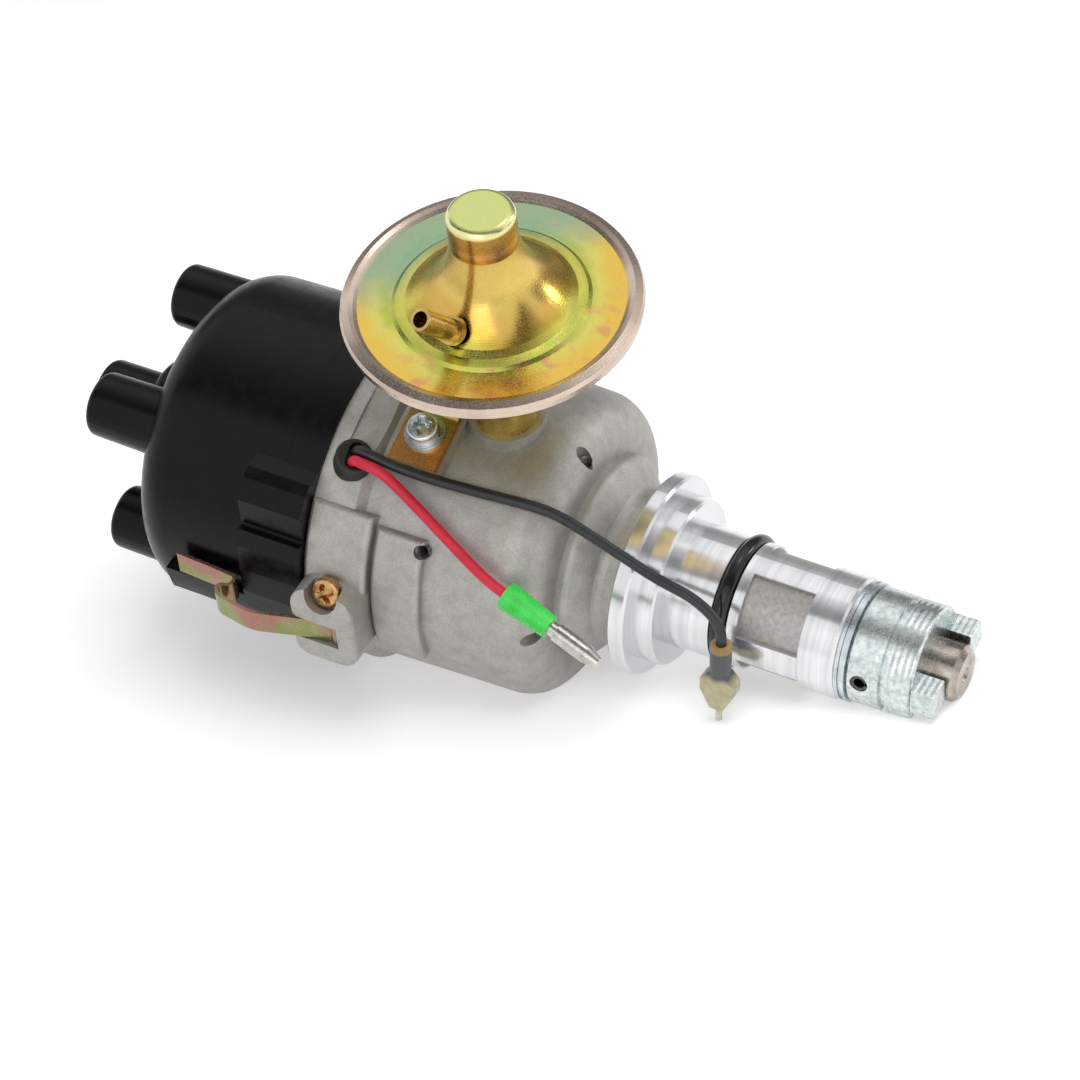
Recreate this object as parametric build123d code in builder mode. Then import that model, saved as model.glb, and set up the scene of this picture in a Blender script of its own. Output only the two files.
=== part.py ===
# Four cylinder ignition distributor with centrifugal and vacuum advance, lying on its side.
# Millimetres and degrees. The shaft runs along X with its drive dog towards +X, and the origin
# is on its axis at the front face of the mounting shoulder. Clock angles turn about the shaft
# from straight up (+Z) towards the front (-Y).
from build123d import *
from math import cos, degrees, pi, radians, sin, tan
import os

os.makedirs("parts", exist_ok=True)

# Clearances
running_fit = 0.04
slide_gap = 0.2
free_gap = 0.3

# Stations along the shaft
cap_joint = -72.1
skirt_length = 9.6
shoulder_face = -20.6
boss_length = 2.2
neck_start = -13.6
flange_back = -8.6
flange_front = -4.9
shank_end = 39.0
bowl_floor = -25.6
plate_ledge = -35.4

# Body radii
skirt_radius = 36.4
bowl_radius = 34.4
bowl_front_radius = 33.3
shoulder_round = 9.0
front_boss_radius = 22.5
neck_radius = 16.9
flange_radius = 22.0
disc_radius = 18.3
shank_radius = 13.5
nose_radius = 13.3
bowl_bore = 31.2
lower_bore = 29.4

# Shank details
groove_centre = 12.7
groove_width = 4.0
ring_section = 3.5
ring_outer_radius = 14.65
window_start = 16.9
window_end = 30.9
window_depth = 1.2
window_arc = 62.0
window_clock = 51.0
window_count = 4

# Shaft, bushes and drive dog
shaft_radius = 6.2
shaft_tip = 63.0
tip_chamfer = 1.2
bush_radius = 8.0
bush_length = 15.0
washer_thickness = 0.7
washer_count = 3
washer_radius = 12.9
dog_length = 14.7
dog_radius = 12.5
dog_groove_start = 7.4
dog_groove_width = 1.5
dog_groove_depth = 0.8
tang_clock = 98.0
tang_width = 6.4
tang_height = 5.2
tang_root = 6.6
tang_offset = 1.0
dog_pin_radius = 2.0
dog_pin_station = 44.6
dog_pin_clock = 91.0

# Centrifugal advance
spindle_radius = 4.0
action_plate_radius = 21.0
action_plate_thickness = 1.8
top_washer_thickness = 0.9
weight_thickness = 3.7
pivot_pitch = 17.0
pivot_radius = 2.2
weight_radius = 27.0
cam_foot_thickness = 1.6
sleeve_radius = 6.5
sleeve_end = -66.0
drive_pin_radius = 1.5
drive_pin_pitch = 11.0
advance_spring_radius = 1.9
spring_coils = 7

# Pickup
bearing_plate_thickness = 1.4
plate_bore = 9.0
pickup_plate_radius = 24.0
pickup_plate_thickness = 1.3
trigger_start = -51.0
trigger_end = -43.0
trigger_radius = 11.0
trigger_poles = 4
pole_width = 5.0
module_gap = 0.6
module_clock = 190.5
module_height = 13.0
module_width = 17.0
module_reach = 23.0
screw_radius = 2.0
screw_head_radius = 3.2
screw_head_height = 2.2

# Rotor arm
rotor_bottom = -60.0
rotor_top = -79.5
rotor_hub_radius = 10.5
rotor_arm_width = 11.0
rotor_clock = 55.0
spark_gap = 0.6
contact_thickness = 1.2
contact_width = 6.0

# Distributor cap
cap_radius = 36.8
cap_taper = 0.9
cap_crown = -117.0
crown_round = 10.0
cap_wall = 3.2
crown_thickness = 4.5
lip_length = 2.5
lip_inner_radius = 29.3
tower_pitch = 25.4
tower_clock = 54.5
tower_count = 4
tower_end = -131.4
centre_tower_end = -143.5
tower_base_radius = 7.4
tower_tip_radius = 7.1
centre_boss_radius = 12.4
centre_boss_end = -128.5
centre_boss_round = 3.0
tower_edge_round = 1.6
socket_radius = 4.0
socket_depth = 15.0
electrode_radius = 2.4
brush_radius = 2.5
brush_start = -93.0
brush_spring_end = -99.0

# Clips and their lugs
clip_clock = 99.0
clip_width = 5.6
clip_thickness = 0.8
clip_fold = -87.6
seat_face = -87.0
lug_length = 15.0
lug_reach = 44.0
lug_half_width = 9.5
lug_facet_clock = 74.0
lug_facet_reach = 41.6
clip_foot = -62.0
clip_foot_reach = 42.0
clip_eye_radius = 1.1
lug_corner = 4.0
lug_round = 2.2
clip_screw_station = -64.9
clip_screw_clock = 88.0
clip_screw_reach = 41.0
clip_head_radius = 3.3
clip_head_height = 2.2
clip_screw_radius = 1.9
clip_screw_length = 7.0

# Vacuum capsule
capsule_station = -39.7
capsule_clock = 10.5
rim_radius = 31.0
rim_height = 69.6
bead_rise = 1.4
bead_inner = 27.4
curl_thickness = 0.5
curl_radius = 28.6
ridge_rise = 1.3
ridge_height = rim_height + ridge_rise
dish_radius = 22.5
pan_floor_radius = 22.0
pan_rim_radius = 28.0
capsule_sheet = 0.7
capsule_depth = 7.6
capsule_floor = rim_height - capsule_depth
cone_foot_radius = 17.0
boss_radius = 7.1
boss_stand = 25.4
boss_top = rim_height + boss_stand
boss_height = 8.2
boss_foot = boss_top - boss_height
boss_round = 1.7
flare_reach = 3.2
flare_share = 7.1 / 15.9
hollow_reach = 3.3
hollow_share = 7.0 / 16.6
snout_radius = 7.0
snout_bore = 5.0
pad_height = 35.6
pad_margin = 1.0
pad_start = -68.4
snout_seat = 36.2
link_thickness = 1.2
link_width = 5.0
peg_offset = 15.0
peg_radius = 1.5
peg_height = 2.0
diaphragm_radius = 28.4
nipple_radius = 2.35
nipple_bore = 1.7
nipple_length = 12.0
nipple_tilt = 38.0

# Capsule bracket
bracket_station = -53.1
bracket_width = 11.0
bracket_thickness = 1.6
bracket_foot_angle = 17.5
bracket_foot_end = 7.4
bracket_leg_offset = 5.4
bracket_washer_radius = 4.4
bracket_washer_thickness = 1.2
bracket_head_radius = 3.4
bracket_head_height = 2.6

# Leads
lead_radius = 1.15
red_sleeve_radius = 3.1
red_sleeve_neck = 2.5
red_sleeve_length = 11.5
bullet_stem_radius = 1.6
bullet_stem_length = 4.2
bullet_grip = 2.5
bullet_radius = 2.0
bullet_barrel = 7.6
bullet_nose = 3.2
bullet_taper = 14.0
black_sleeve_radius = 2.3
black_sleeve_length = 11.5
hood_start = 7.0
hood_shoulder = 9.2
hood_corner = 12.0
blade_start = 13.0
blade_length = 7.4
hood_neck = 1.8
hood_width = 7.7
hood_thickness = 3.4
hood_tip = 1.5
hood_end = 16.6
blade_radius = 0.75

# Mechanism inside the bowl, seats of the cap and smaller fittings
spindle_top = -64.0
centre_hole_radius = 1.7
upper_washer_radius = 10.0
post_radius = 0.9
plate_post_pitch = 18.0
plate_post_clock = 100.0
foot_post_pitch = 13.0
foot_post_clock = 140.0
weight_arc = 100.0
weight_inner = 9.5
weight_outer = 21.5
foot_width = 9.0
foot_reach = 15.0
foot_slot_length = 6.4
plate_hub_radius = 11.0
plate_ear_clocks = (60.0, 240.0)
plate_ear_thickness = 2.2
plate_ear_inner = 24.2
plate_screw_pitch = 27.4
plate_screw_radius = 1.5
plate_head_radius = 2.6
module_inner = 11.0
module_screw_pitch = 20.6
module_screw_spread = 37.0
module_foot_width = 32.0
rotor_arm_reach = 21.6
cap_band = 0.4
cap_band_length = 8.0
ledge_step = 1.6
ledge_reach = cap_radius + ledge_step
seat_outline = (
    (cap_radius - 3, -50.0),
    (cap_radius + 0.1, -48.0),
    (cap_radius + 3.1, -43.5),
    (cap_radius + 4.1, -40.0),
    (cap_radius + 4.4, -33.0),
    (cap_radius + 1.5, -24.8),
    (cap_radius + 1.5, -23.6),
    (cap_radius + 2.8, -23.0),
    (cap_radius + 2.5, -16.8),
    (ledge_reach, -7.0),
    (ledge_reach, 3.0),
    (ledge_reach, 12.0),
    (cap_radius - 3, 12.0),
)
wall_step = 1.5
wall_reach = cap_radius + wall_step
trough_clock = 5.6
trough_arc = 11.0
trough_end = -106.5
electrode_boss_radius = 4.4
electrode_boss_end = -92.0
electrode_end = -76.6
brush_holder_radius = 5.5
brush_holder_end = -87.0
clip_bow_rise = 8.2
clip_bow_reach = ledge_reach + clip_bow_rise
diaphragm_thickness = 0.6
plate_disc_radius = 12.0
vacuum_spring_radius = 5.4
vacuum_spring_turns = 6
nipple_seat = 0.9
nipple_collar = 0.6
nipple_offset = 14.2
nipple_rise = 4.4
nipple_base = rim_height + nipple_rise
bracket_screw_radius = 2.4
hole_floor = 25.5
pad_round = 1.2
wall_pads = (
    (59.0, 30.0, cap_joint, -57.5, 37.6),
    (62.0, 52.0, -56.9, -45.6, 36.2),
    (59.0 - 180, 30.0, cap_joint, -57.5, 37.6),
)
plain_holes = (
    (-22.4, 10.0, 1.6),
    (-22.2, 94.0, 1.6),
    (-46.0, 66.0, 1.6),
)
grommet_waist = 4.0
grommet_radius = 4.2
grommet_skirt_start = 4.6
grommet_height = 8.6
grommet_recess = 2.0


def outward(station, clock, reach=0.0):
    """Plane at a station of the shaft that faces straight away from it at a clock angle."""
    turn = radians(clock)
    return Plane(
        origin=(station, -reach * sin(turn), reach * cos(turn)),
        x_dir=(1, 0, 0),
        z_dir=(0, -sin(turn), cos(turn)),
    )


def lengthwise(clock, station=0.0):
    """Plane through the shaft axis at a clock angle: x along the shaft, y away from it."""
    turn = radians(clock)
    return Plane(origin=(station, 0, 0), x_dir=(1, 0, 0), z_dir=(0, -cos(turn), -sin(turn)))


def spot(radius, clock):
    """Place in a cross section of the shaft, as (y, z)."""
    return (-radius * sin(radians(clock)), radius * cos(radians(clock)))


def place(station, radius, clock):
    """Point in space at a station, a radius and a clock angle."""
    return (station, *spot(radius, clock))


def band(start, end, inner, outer):
    """Rectangle in a lengthwise sketch, between two stations and two radii."""
    with Locations(((start + end) / 2, (inner + outer) / 2)):
        Rectangle(abs(end - start), abs(outer - inner))


def ring(start, end, inner, outer, mode=Mode.ADD):
    """Turned ring about the shaft."""
    with BuildSketch(Plane.XZ) as section:
        band(start, end, inner, outer)
    revolve(section.sketch, axis=Axis.X, mode=mode)


def rod(start, end, radius, mode=Mode.ADD, at=(0, 0)):
    """Round rod along the shaft direction between two stations."""
    with BuildSketch(Plane.YZ.offset(start)) as section:
        with Locations(at):
            Circle(radius)
    extrude(section.sketch, amount=end - start, mode=mode)


def capward(station, clock=0.0):
    """Cross section plane that faces the cap end, with y along a clock angle and x a quarter on."""
    turn = radians(clock)
    return Plane(origin=(station, 0, 0), x_dir=(0, -cos(turn), -sin(turn)), z_dir=(-1, 0, 0))


def disc_spot(radius, clock):
    """Place in a capward sketch."""
    return (radius * sin(radians(clock)), radius * cos(radians(clock)))


def sector(first_clock, arc, start, end, inner, outer, mode=Mode.ADD):
    """Part of a turned ring, from a first clock angle through an arc."""
    with BuildSketch(lengthwise(first_clock)) as section:
        band(start, end, inner, outer)
    revolve(section.sketch, axis=Axis.X, revolution_arc=arc, mode=mode)


def soft_pad(first_clock, arc, start, end, reach):
    """Raised pad of a bowl's wall, with its outer edges rounded."""
    with BuildPart() as pad:
        sector(first_clock, arc, start, end, bowl_bore + 0.5, reach)
        outer_face = faces().sort_by_distance(place((start + end) / 2, reach + 1, first_clock + arc / 2))[0]
        fillet(outer_face.edges(), pad_round)
    return pad.part


def peg(plane, radius, length, mode=Mode.ADD):
    """Round peg that stands on a plane."""
    with BuildSketch(plane) as section:
        Circle(radius)
    extrude(section.sketch, amount=length, mode=mode)


def corner(sketch, point):
    """The sketch's vertex nearest to a point."""
    return sketch.vertices().sort_by_distance(point)[0]


# Planes of the pieces that stand at an angle
grommet_seat = Vector(*place(-67.6, 32.0, 47.0))
grommet_exit = Vector(*place(-64.6, 40.0, 42.5))
grommet_axis = (grommet_exit - grommet_seat).normalized()
grommet_side = capward(0, 43.0).x_dir
grommet_plane = Plane(
    origin=grommet_seat,
    x_dir=grommet_side - grommet_axis * grommet_side.dot(grommet_axis),
    z_dir=grommet_axis,
)
grommet_top = grommet_plane.offset(grommet_height)
clip_screw_planes = {}
for side in (0, 180):
    screw_place = place(clip_screw_station, clip_screw_reach - clip_head_height, clip_screw_clock - side)
    facet = outward(clip_screw_station, lug_facet_clock - side)
    clip_screw_planes[side] = Plane(origin=screw_place, x_dir=(1, 0, 0), z_dir=facet.z_dir)
nipple_lean = outward(0, capsule_clock + nipple_tilt).z_dir
nipple_plane = Plane(
    origin=capward(capsule_station, capsule_clock).from_local_coords((nipple_offset, nipple_base, 0)),
    z_dir=Vector(-0.24, nipple_lean.Y, nipple_lean.Z),
)


def bracket_half(side):
    """Centre line of half the bracket, from a foot's end up its leg, seen from the cap."""
    lean = radians(bracket_foot_angle)
    reach = pad_height + bracket_thickness / 2
    foot_centre = Vector(side * reach * sin(lean), reach * cos(lean))
    along = Vector(side * cos(lean), -sin(lean))
    toe = foot_centre + along * bracket_foot_end
    heel_run = (foot_centre.X * side - bracket_leg_offset) / cos(lean)
    heel = foot_centre - along * heel_run
    return [toe, heel, Vector(side * bracket_leg_offset, capsule_floor - bracket_thickness / 2)]


def lead_exit(side, height):
    """Point on a lead's own line through the grommet, above or below its top."""
    return tuple(grommet_top.from_local_coords((side * (lead_radius + 0.1), 0, height)))


# Routes of the two leads, as the control points that they follow
red_end_line = Vector(0.948, -0.125, -0.284)
red_end_place = Vector(-24.9, -35.0, 13.1)
red_route = [
    lead_exit(1, -grommet_recess),
    lead_exit(1, 0.9),
    place(-61.9, 41.5, 44.3),
    place(-57.2, 40.5, 44.8),
    place(-50.5, 38.1, 50.0),
    place(-42.0, 36.8, 57.3),
    place(-35.0, 36.7, 63.2),
    tuple(red_end_place - red_end_line * 4.4),
    tuple(red_end_place),
]
black_route = [
    lead_exit(-1, -grommet_recess),
    lead_exit(-1, 0.7),
    place(-62.0, 40.7, 41.0),
    place(-57.2, 39.0, 41.8),
    place(-48.5, 37.4, 41.9),
    place(-38.0, 36.0, 40.8),
    place(-29.0, 35.4, 39.6),
    place(-21.5, 33.0, 38.6),
    place(-14.0, 28.9, 41.2),
    place(-6.6, 23.9, 45.6),
    place(1.5, 23.4, 50.6),
    (8.6, -18.6, 14.0),
    (13.3, -18.9, 11.8),
    (15.7, -19.0, 9.3),
    (16.5, -19.0, 6.4),
    (16.5, -19.0, 4.2),
]


# Body casting: bowl, neck, two flange discs and the machined shank, bored for the bushes
boss_face = shoulder_face + boss_length
body_outline = [
    (cap_joint, 0),
    (cap_joint, skirt_radius),
    (cap_joint + skirt_length, skirt_radius),
    (cap_joint + skirt_length + 1.6, bowl_radius),
    (shoulder_face, bowl_front_radius),
    (shoulder_face, front_boss_radius),
    (boss_face, front_boss_radius),
    (neck_start, neck_radius),
    (flange_back, neck_radius),
    (flange_back, flange_radius),
    (flange_front, flange_radius),
    (flange_front, disc_radius),
    (0, disc_radius),
    (0, shank_radius),
    (window_end, shank_radius),
    (window_end, nose_radius),
    (shank_end, nose_radius),
    (shank_end, 0),
]
clip_sides = (0, 180)
slot_end = clip_foot + clip_eye_radius + free_gap
slot_floor = clip_foot_reach - clip_eye_radius - free_gap
with BuildPart() as body_casting:
    with BuildSketch(Plane.XZ) as casting_profile:
        with BuildLine():
            Polyline(*body_outline, close=True)
        make_face()
        fillet(corner(casting_profile, (shoulder_face, bowl_front_radius)), shoulder_round)
        fillet(corner(casting_profile, (boss_face, front_boss_radius)), 1.8)
        fillet(corner(casting_profile, (neck_start, neck_radius)), 2.5)
        chamfer(corner(casting_profile, (flange_back, flange_radius)), 0.5)
        chamfer(corner(casting_profile, (flange_front, flange_radius)), 0.5)
        chamfer(corner(casting_profile, (0, disc_radius)), 0.5)
        chamfer(corner(casting_profile, (shank_end, nose_radius)), 0.8)
    revolve(axis=Axis.X)
    # Raised pads beside the cap joint and below it
    for first_clock, arc, start, end, reach in wall_pads:
        add(soft_pad(first_clock, arc, start, end, reach))
    # Flat pads for the capsule's bracket feet, and the round pad for its snout
    for side in (1, -1):
        with BuildSketch(outward(bracket_station, capsule_clock + side * bracket_foot_angle, lower_bore)):
            Rectangle(bracket_width + 2 * pad_margin, 2 * bracket_foot_end)
        extrude(amount=pad_height - lower_bore)
    snout_pad = outward(capsule_station, capsule_clock, snout_seat)
    peg(snout_pad, snout_radius + 1.2, lower_bore - snout_seat)
    peg(snout_pad, snout_radius + 0.6, 5, Mode.SUBTRACT)
    for side in (1, -1):
        pad_end = bracket_station - bracket_width / 2 - pad_margin
        pad_middle = (pad_start + pad_end) / 2
        with BuildSketch(outward(pad_middle, capsule_clock + side * bracket_foot_angle, pad_height)):
            Rectangle(pad_end - pad_start, 2 * bracket_foot_end)
        extrude(amount=5, mode=Mode.SUBTRACT)
    # Clip lugs, open outwards and towards the cap for the clip's foot
    for side in clip_sides:
        with BuildPart(mode=Mode.PRIVATE) as lug:
            with BuildSketch(outward(cap_joint + lug_length / 2, clip_clock - side, lower_bore)):
                RectangleRounded(lug_length, 2 * lug_half_width, lug_corner)
            extrude(amount=lug_reach - lower_bore)
            lug_middle = place(cap_joint + lug_length / 2, lug_reach + 1, clip_clock - side)
            fillet(lug.faces().sort_by_distance(lug_middle)[0].edges(), lug_round)
        add(lug.part)
        with BuildSketch(outward((cap_joint - 1 + slot_end) / 2, clip_clock - side, slot_floor)):
            Rectangle(slot_end - cap_joint + 1, clip_width + 2 * free_gap)
        extrude(amount=lug_reach, mode=Mode.SUBTRACT)
        with BuildSketch(outward(cap_joint + lug_length / 2, lug_facet_clock - side, lug_facet_reach)):
            Rectangle(lug_length + 4, 40)
        extrude(amount=10, mode=Mode.SUBTRACT)
    # Cavity with the ledge for the bearing plate and the two ears for its screws
    ring(cap_joint, plate_ledge, 0, bowl_bore, Mode.SUBTRACT)
    ring(plate_ledge, bowl_floor, 0, lower_bore, Mode.SUBTRACT)
    for clock in plate_ear_clocks:
        sector(clock - 9, 18, plate_ledge, plate_ledge + plate_ear_thickness, plate_ear_inner, bowl_bore)
    ring(bowl_floor, shank_end, 0, bush_radius, Mode.SUBTRACT)
    # O-ring groove and the rough cast windows of the shank
    groove_start = groove_centre - groove_width / 2
    groove_floor = ring_outer_radius - ring_section
    ring(groove_start, groove_start + groove_width, groove_floor, shank_radius + 1, Mode.SUBTRACT)
    for index in range(window_count):
        first_clock = window_clock - window_arc / 2 + index * 360 / window_count
        window_floor = shank_radius - window_depth
        sector(first_clock, window_arc, window_start, window_end, window_floor, shank_radius + 1, Mode.SUBTRACT)
    # Opening for the capsule's link, grommet seat, screw holes and the plain and tapped holes
    peg(outward(capsule_station, capsule_clock, lower_bore - 2), snout_bore, 12, Mode.SUBTRACT)
    peg(grommet_plane, grommet_waist, 12, Mode.SUBTRACT)
    peg(grommet_plane.offset(grommet_skirt_start - 0.2), grommet_radius, 12, Mode.SUBTRACT)
    for side in (1, -1):
        foot_clock = capsule_clock + side * bracket_foot_angle
        peg(outward(bracket_station, foot_clock, pad_height), bracket_screw_radius, -6, Mode.SUBTRACT)
    for side in clip_sides:
        peg(clip_screw_planes[side], clip_head_radius + 0.6, 8, Mode.SUBTRACT)
        peg(clip_screw_planes[side], clip_screw_radius, -clip_screw_length - 0.3, Mode.SUBTRACT)
    for station, clock, radius in plain_holes:
        peg(outward(station, clock, hole_floor), radius, 12, Mode.SUBTRACT)
    for clock in plate_ear_clocks:
        hole_spot = spot(plate_screw_pitch, clock)
        rod(plate_ledge, plate_ledge + plate_ear_thickness, plate_screw_radius, Mode.SUBTRACT, hole_spot)

# Sintered bushes pressed into both ends of the shank
lower_bush_start = shank_end - bush_length
upper_bush_end = bowl_floor + bush_length
with BuildPart() as upper_bush:
    ring(bowl_floor, upper_bush_end, shaft_radius + running_fit, bush_radius)
with BuildPart() as lower_bush:
    ring(lower_bush_start, shank_end, shaft_radius + running_fit, bush_radius)

# Rubber O-ring of the shank
with BuildPart() as o_ring:
    with BuildSketch(Plane.XZ):
        with Locations((groove_centre, ring_outer_radius - ring_section / 2)):
            Circle(ring_section / 2)
    revolve(axis=Axis.X)

# Shaft: ground journal, thinner spindle above the weights, centre hole in the tip
plate_top = bowl_floor - slide_gap / 2 - top_washer_thickness - slide_gap / 2
spindle_base = plate_top - action_plate_thickness
dog_start = shank_end + slide_gap / 2 + washer_count * (washer_thickness + 0.05)
dog_face = dog_start + dog_length
with BuildPart() as main_shaft:
    with BuildSketch(Plane.XZ):
        with BuildLine():
            Polyline(
                (spindle_top, 0),
                (spindle_top, spindle_radius),
                (spindle_base, spindle_radius),
                (spindle_base, shaft_radius),
                (shaft_tip - tip_chamfer, shaft_radius),
                (shaft_tip, shaft_radius - tip_chamfer),
                (shaft_tip, centre_hole_radius),
                (shaft_tip - 1.6 * centre_hole_radius, 0),
                close=True,
            )
        make_face()
    revolve(axis=Axis.X)
    peg(outward(dog_pin_station, dog_pin_clock, -dog_radius - 1), dog_pin_radius, 30, Mode.SUBTRACT)

# Thrust washers between the shank and the dog, and the one above the upper bush
with BuildPart() as thrust_washers:
    for index in range(washer_count):
        start = shank_end + slide_gap / 2 + index * (washer_thickness + 0.05)
        outer = washer_radius - 0.4 * (index % 2)
        ring(start, start + washer_thickness, shaft_radius + running_fit, outer)
with BuildPart() as upper_washer:
    start = bowl_floor - slide_gap / 2 - top_washer_thickness
    ring(start, start + top_washer_thickness, shaft_radius + running_fit, upper_washer_radius)

# Drive dog with its groove and two offset tangs
with BuildPart() as drive_dog:
    with BuildSketch(Plane.XZ) as dog_profile:
        with BuildLine():
            Polyline(
                (dog_start, shaft_radius),
                (dog_start, dog_radius),
                (dog_start + dog_groove_start, dog_radius),
                (dog_start + dog_groove_start, dog_radius - dog_groove_depth),
                (dog_start + dog_groove_start + dog_groove_width, dog_radius - dog_groove_depth),
                (dog_start + dog_groove_start + dog_groove_width, dog_radius),
                (dog_face, dog_radius),
                (dog_face, shaft_radius),
                close=True,
            )
        make_face()
        chamfer(corner(dog_profile, (dog_start, dog_radius)), 0.6)
        chamfer(corner(dog_profile, (dog_face, dog_radius)), 0.5)
    revolve(axis=Axis.X)
    with BuildSketch(Plane.YZ.offset(dog_face)):
        with Locations(Location((0, 0, 0), (0, 0, tang_clock))):
            for side in (1, -1):
                with Locations((tang_offset, side * (tang_root + dog_radius) / 2)):
                    Rectangle(tang_width, dog_radius - tang_root)
        Circle(dog_radius - 0.2, mode=Mode.INTERSECT)
    extrude(amount=tang_height)
    peg(outward(dog_pin_station, dog_pin_clock, -dog_radius - 1), dog_pin_radius, 30, Mode.SUBTRACT)

# Slotted spring pin through dog and shaft
with BuildPart() as dog_pin:
    with BuildSketch(outward(dog_pin_station, dog_pin_clock, 0.3 - dog_radius)):
        Circle(dog_pin_radius)
        Circle(dog_pin_radius - 0.8, mode=Mode.SUBTRACT)
        with Locations((dog_pin_radius, 0)):
            Rectangle(dog_pin_radius, 0.6, mode=Mode.SUBTRACT)
    extrude(amount=2 * dog_radius - 0.6)

# Centrifugal advance: base plate on the shaft, with the pivots and spring posts of the weights
weights_base = spindle_base - 0.3
weights_top = weights_base - weight_thickness
foot_base = weights_top - 0.5
foot_top = foot_base - cam_foot_thickness
weight_sides = (0, 180)
with BuildPart() as action_plate:
    with BuildSketch(Plane.YZ.offset(spindle_base)):
        Circle(action_plate_radius)
        Rectangle(1.5 * action_plate_radius, 2 * action_plate_radius, mode=Mode.INTERSECT)
        Circle(shaft_radius, mode=Mode.SUBTRACT)
    extrude(amount=action_plate_thickness)
    for side in weight_sides:
        rod(spindle_base, weights_top - 0.3, pivot_radius, at=spot(pivot_pitch, side))
        rod(spindle_base, weights_top, post_radius, at=spot(plate_post_pitch, plate_post_clock + side))

# Two steel weights, each a curved block that swings out about its pivot
weights = []
for side in weight_sides:
    with BuildPart() as weight:
        sector(side - 20, weight_arc, weights_base, weights_top, weight_inner, weight_outer)
        rod(weights_base, weights_top, pivot_radius + running_fit, Mode.SUBTRACT, spot(pivot_pitch, side))
        rod(weights_top, foot_top + 0.2, drive_pin_radius, at=spot(drive_pin_pitch, side))
    weights.append(weight)
weight_a, weight_b = weights

# Cam sleeve that turns on the spindle, with the slotted foot that the weights drive
with BuildPart() as cam_sleeve:
    ring(sleeve_end, foot_base, spindle_radius + running_fit, sleeve_radius)
    with BuildSketch(Plane.YZ.offset(foot_top)):
        Circle(sleeve_radius + 2)
        Rectangle(foot_width, 2 * foot_reach)
        for side in weight_sides:
            with Locations(Location((0, 0, 0), (0, 0, foot_post_clock + side))):
                with Locations((0, foot_post_pitch / 2)):
                    Rectangle(2.6 * post_radius * 2, foot_post_pitch + 3)
        Circle(spindle_radius + running_fit, mode=Mode.SUBTRACT)
        for side in weight_sides:
            with Locations(spot(drive_pin_pitch + 0.3, side)):
                SlotOverall(foot_slot_length, 2 * (drive_pin_radius + free_gap), rotation=90, mode=Mode.SUBTRACT)
    extrude(amount=cam_foot_thickness)
    for side in weight_sides:
        rod(foot_base, foot_base + 3, post_radius, at=spot(foot_post_pitch, foot_post_clock + side))

# Two close wound springs that pull the weights in, from the plate's posts to the foot's
with BuildPart() as advance_springs:
    for side in weight_sides:
        level = (weights_base + weights_top) / 2
        head = Vector(place(level, plate_post_pitch, plate_post_clock + side))
        tail = Vector(place(level, foot_post_pitch, foot_post_clock + side))
        pull = (tail - head).normalized()
        span = (tail - head).length - 2 * (post_radius + 0.3)
        hook = 1.2
        coil_pitch = (span - 2 * hook) / spring_coils
        start = head + pull * (post_radius + 0.3)
        coil_plane = Plane(origin=start, x_dir=pull, z_dir=(1, 0, 0))
        with BuildSketch(coil_plane) as coil_section:
            with BuildLine():
                rise = [(0, 0), (0, 0.4), (hook, 0.4)]
                for coil in range(spring_coils):
                    coil_start = hook + coil * coil_pitch
                    rise.append((coil_start, advance_spring_radius - 0.4))
                    rise.append((coil_start + coil_pitch / 2, advance_spring_radius))
                rise.append((span - hook, advance_spring_radius - 0.4))
                rise += [(span - hook, 0.4), (span, 0.4), (span, 0)]
                Polyline(*rise, close=True)
            make_face()
        revolve(coil_section.sketch, axis=Axis(start, pull))

# Trigger wheel with one pole for each cylinder
with BuildPart() as trigger_wheel:
    with BuildSketch(Plane.YZ.offset(trigger_start)):
        Circle(sleeve_radius + 1.4)
        with Locations(*[Location((0, 0, 0), (0, 0, 90 * pole)) for pole in range(trigger_poles)]):
            with Locations((0, trigger_radius / 2)):
                Rectangle(pole_width, trigger_radius)
        Circle(trigger_radius, mode=Mode.INTERSECT)
        Circle(sleeve_radius, mode=Mode.SUBTRACT)
    extrude(amount=trigger_end - trigger_start)

# Fixed bearing plate on the bowl's ledge, with the hub that the pickup plate turns on
bearing_top = plate_ledge - bearing_plate_thickness
pickup_base = bearing_top - slide_gap
pickup_top = pickup_base - pickup_plate_thickness
with BuildPart() as bearing_plate:
    ring(plate_ledge, bearing_top, plate_bore, bowl_bore - 0.2)
    ring(bearing_top, pickup_top - slide_gap, plate_bore, plate_hub_radius)
    for clock in plate_ear_clocks:
        hole_spot = spot(plate_screw_pitch, clock)
        rod(plate_ledge, bearing_top, plate_screw_radius, Mode.SUBTRACT, hole_spot)
with BuildPart() as plate_screws:
    for clock in plate_ear_clocks:
        screw_spot = spot(plate_screw_pitch, clock)
        rod(plate_ledge + plate_ear_thickness, bearing_top, plate_screw_radius, at=screw_spot)
        rod(bearing_top, bearing_top - screw_head_height, plate_head_radius, at=screw_spot)

# Moving pickup plate with the peg that the capsule's link pulls
peg_clock = capsule_clock + 90
with BuildPart() as pickup_plate:
    ring(pickup_base, pickup_top, plate_hub_radius + 0.06, pickup_plate_radius)
    rod(pickup_top, capsule_station - link_thickness / 2 - 0.8, peg_radius, at=spot(peg_offset, peg_clock))
    for side in (-1, 1):
        tap_spot = spot(module_screw_pitch, module_clock + side * module_screw_spread)
        rod(pickup_base, pickup_top, screw_radius, Mode.SUBTRACT, tap_spot)

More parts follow.
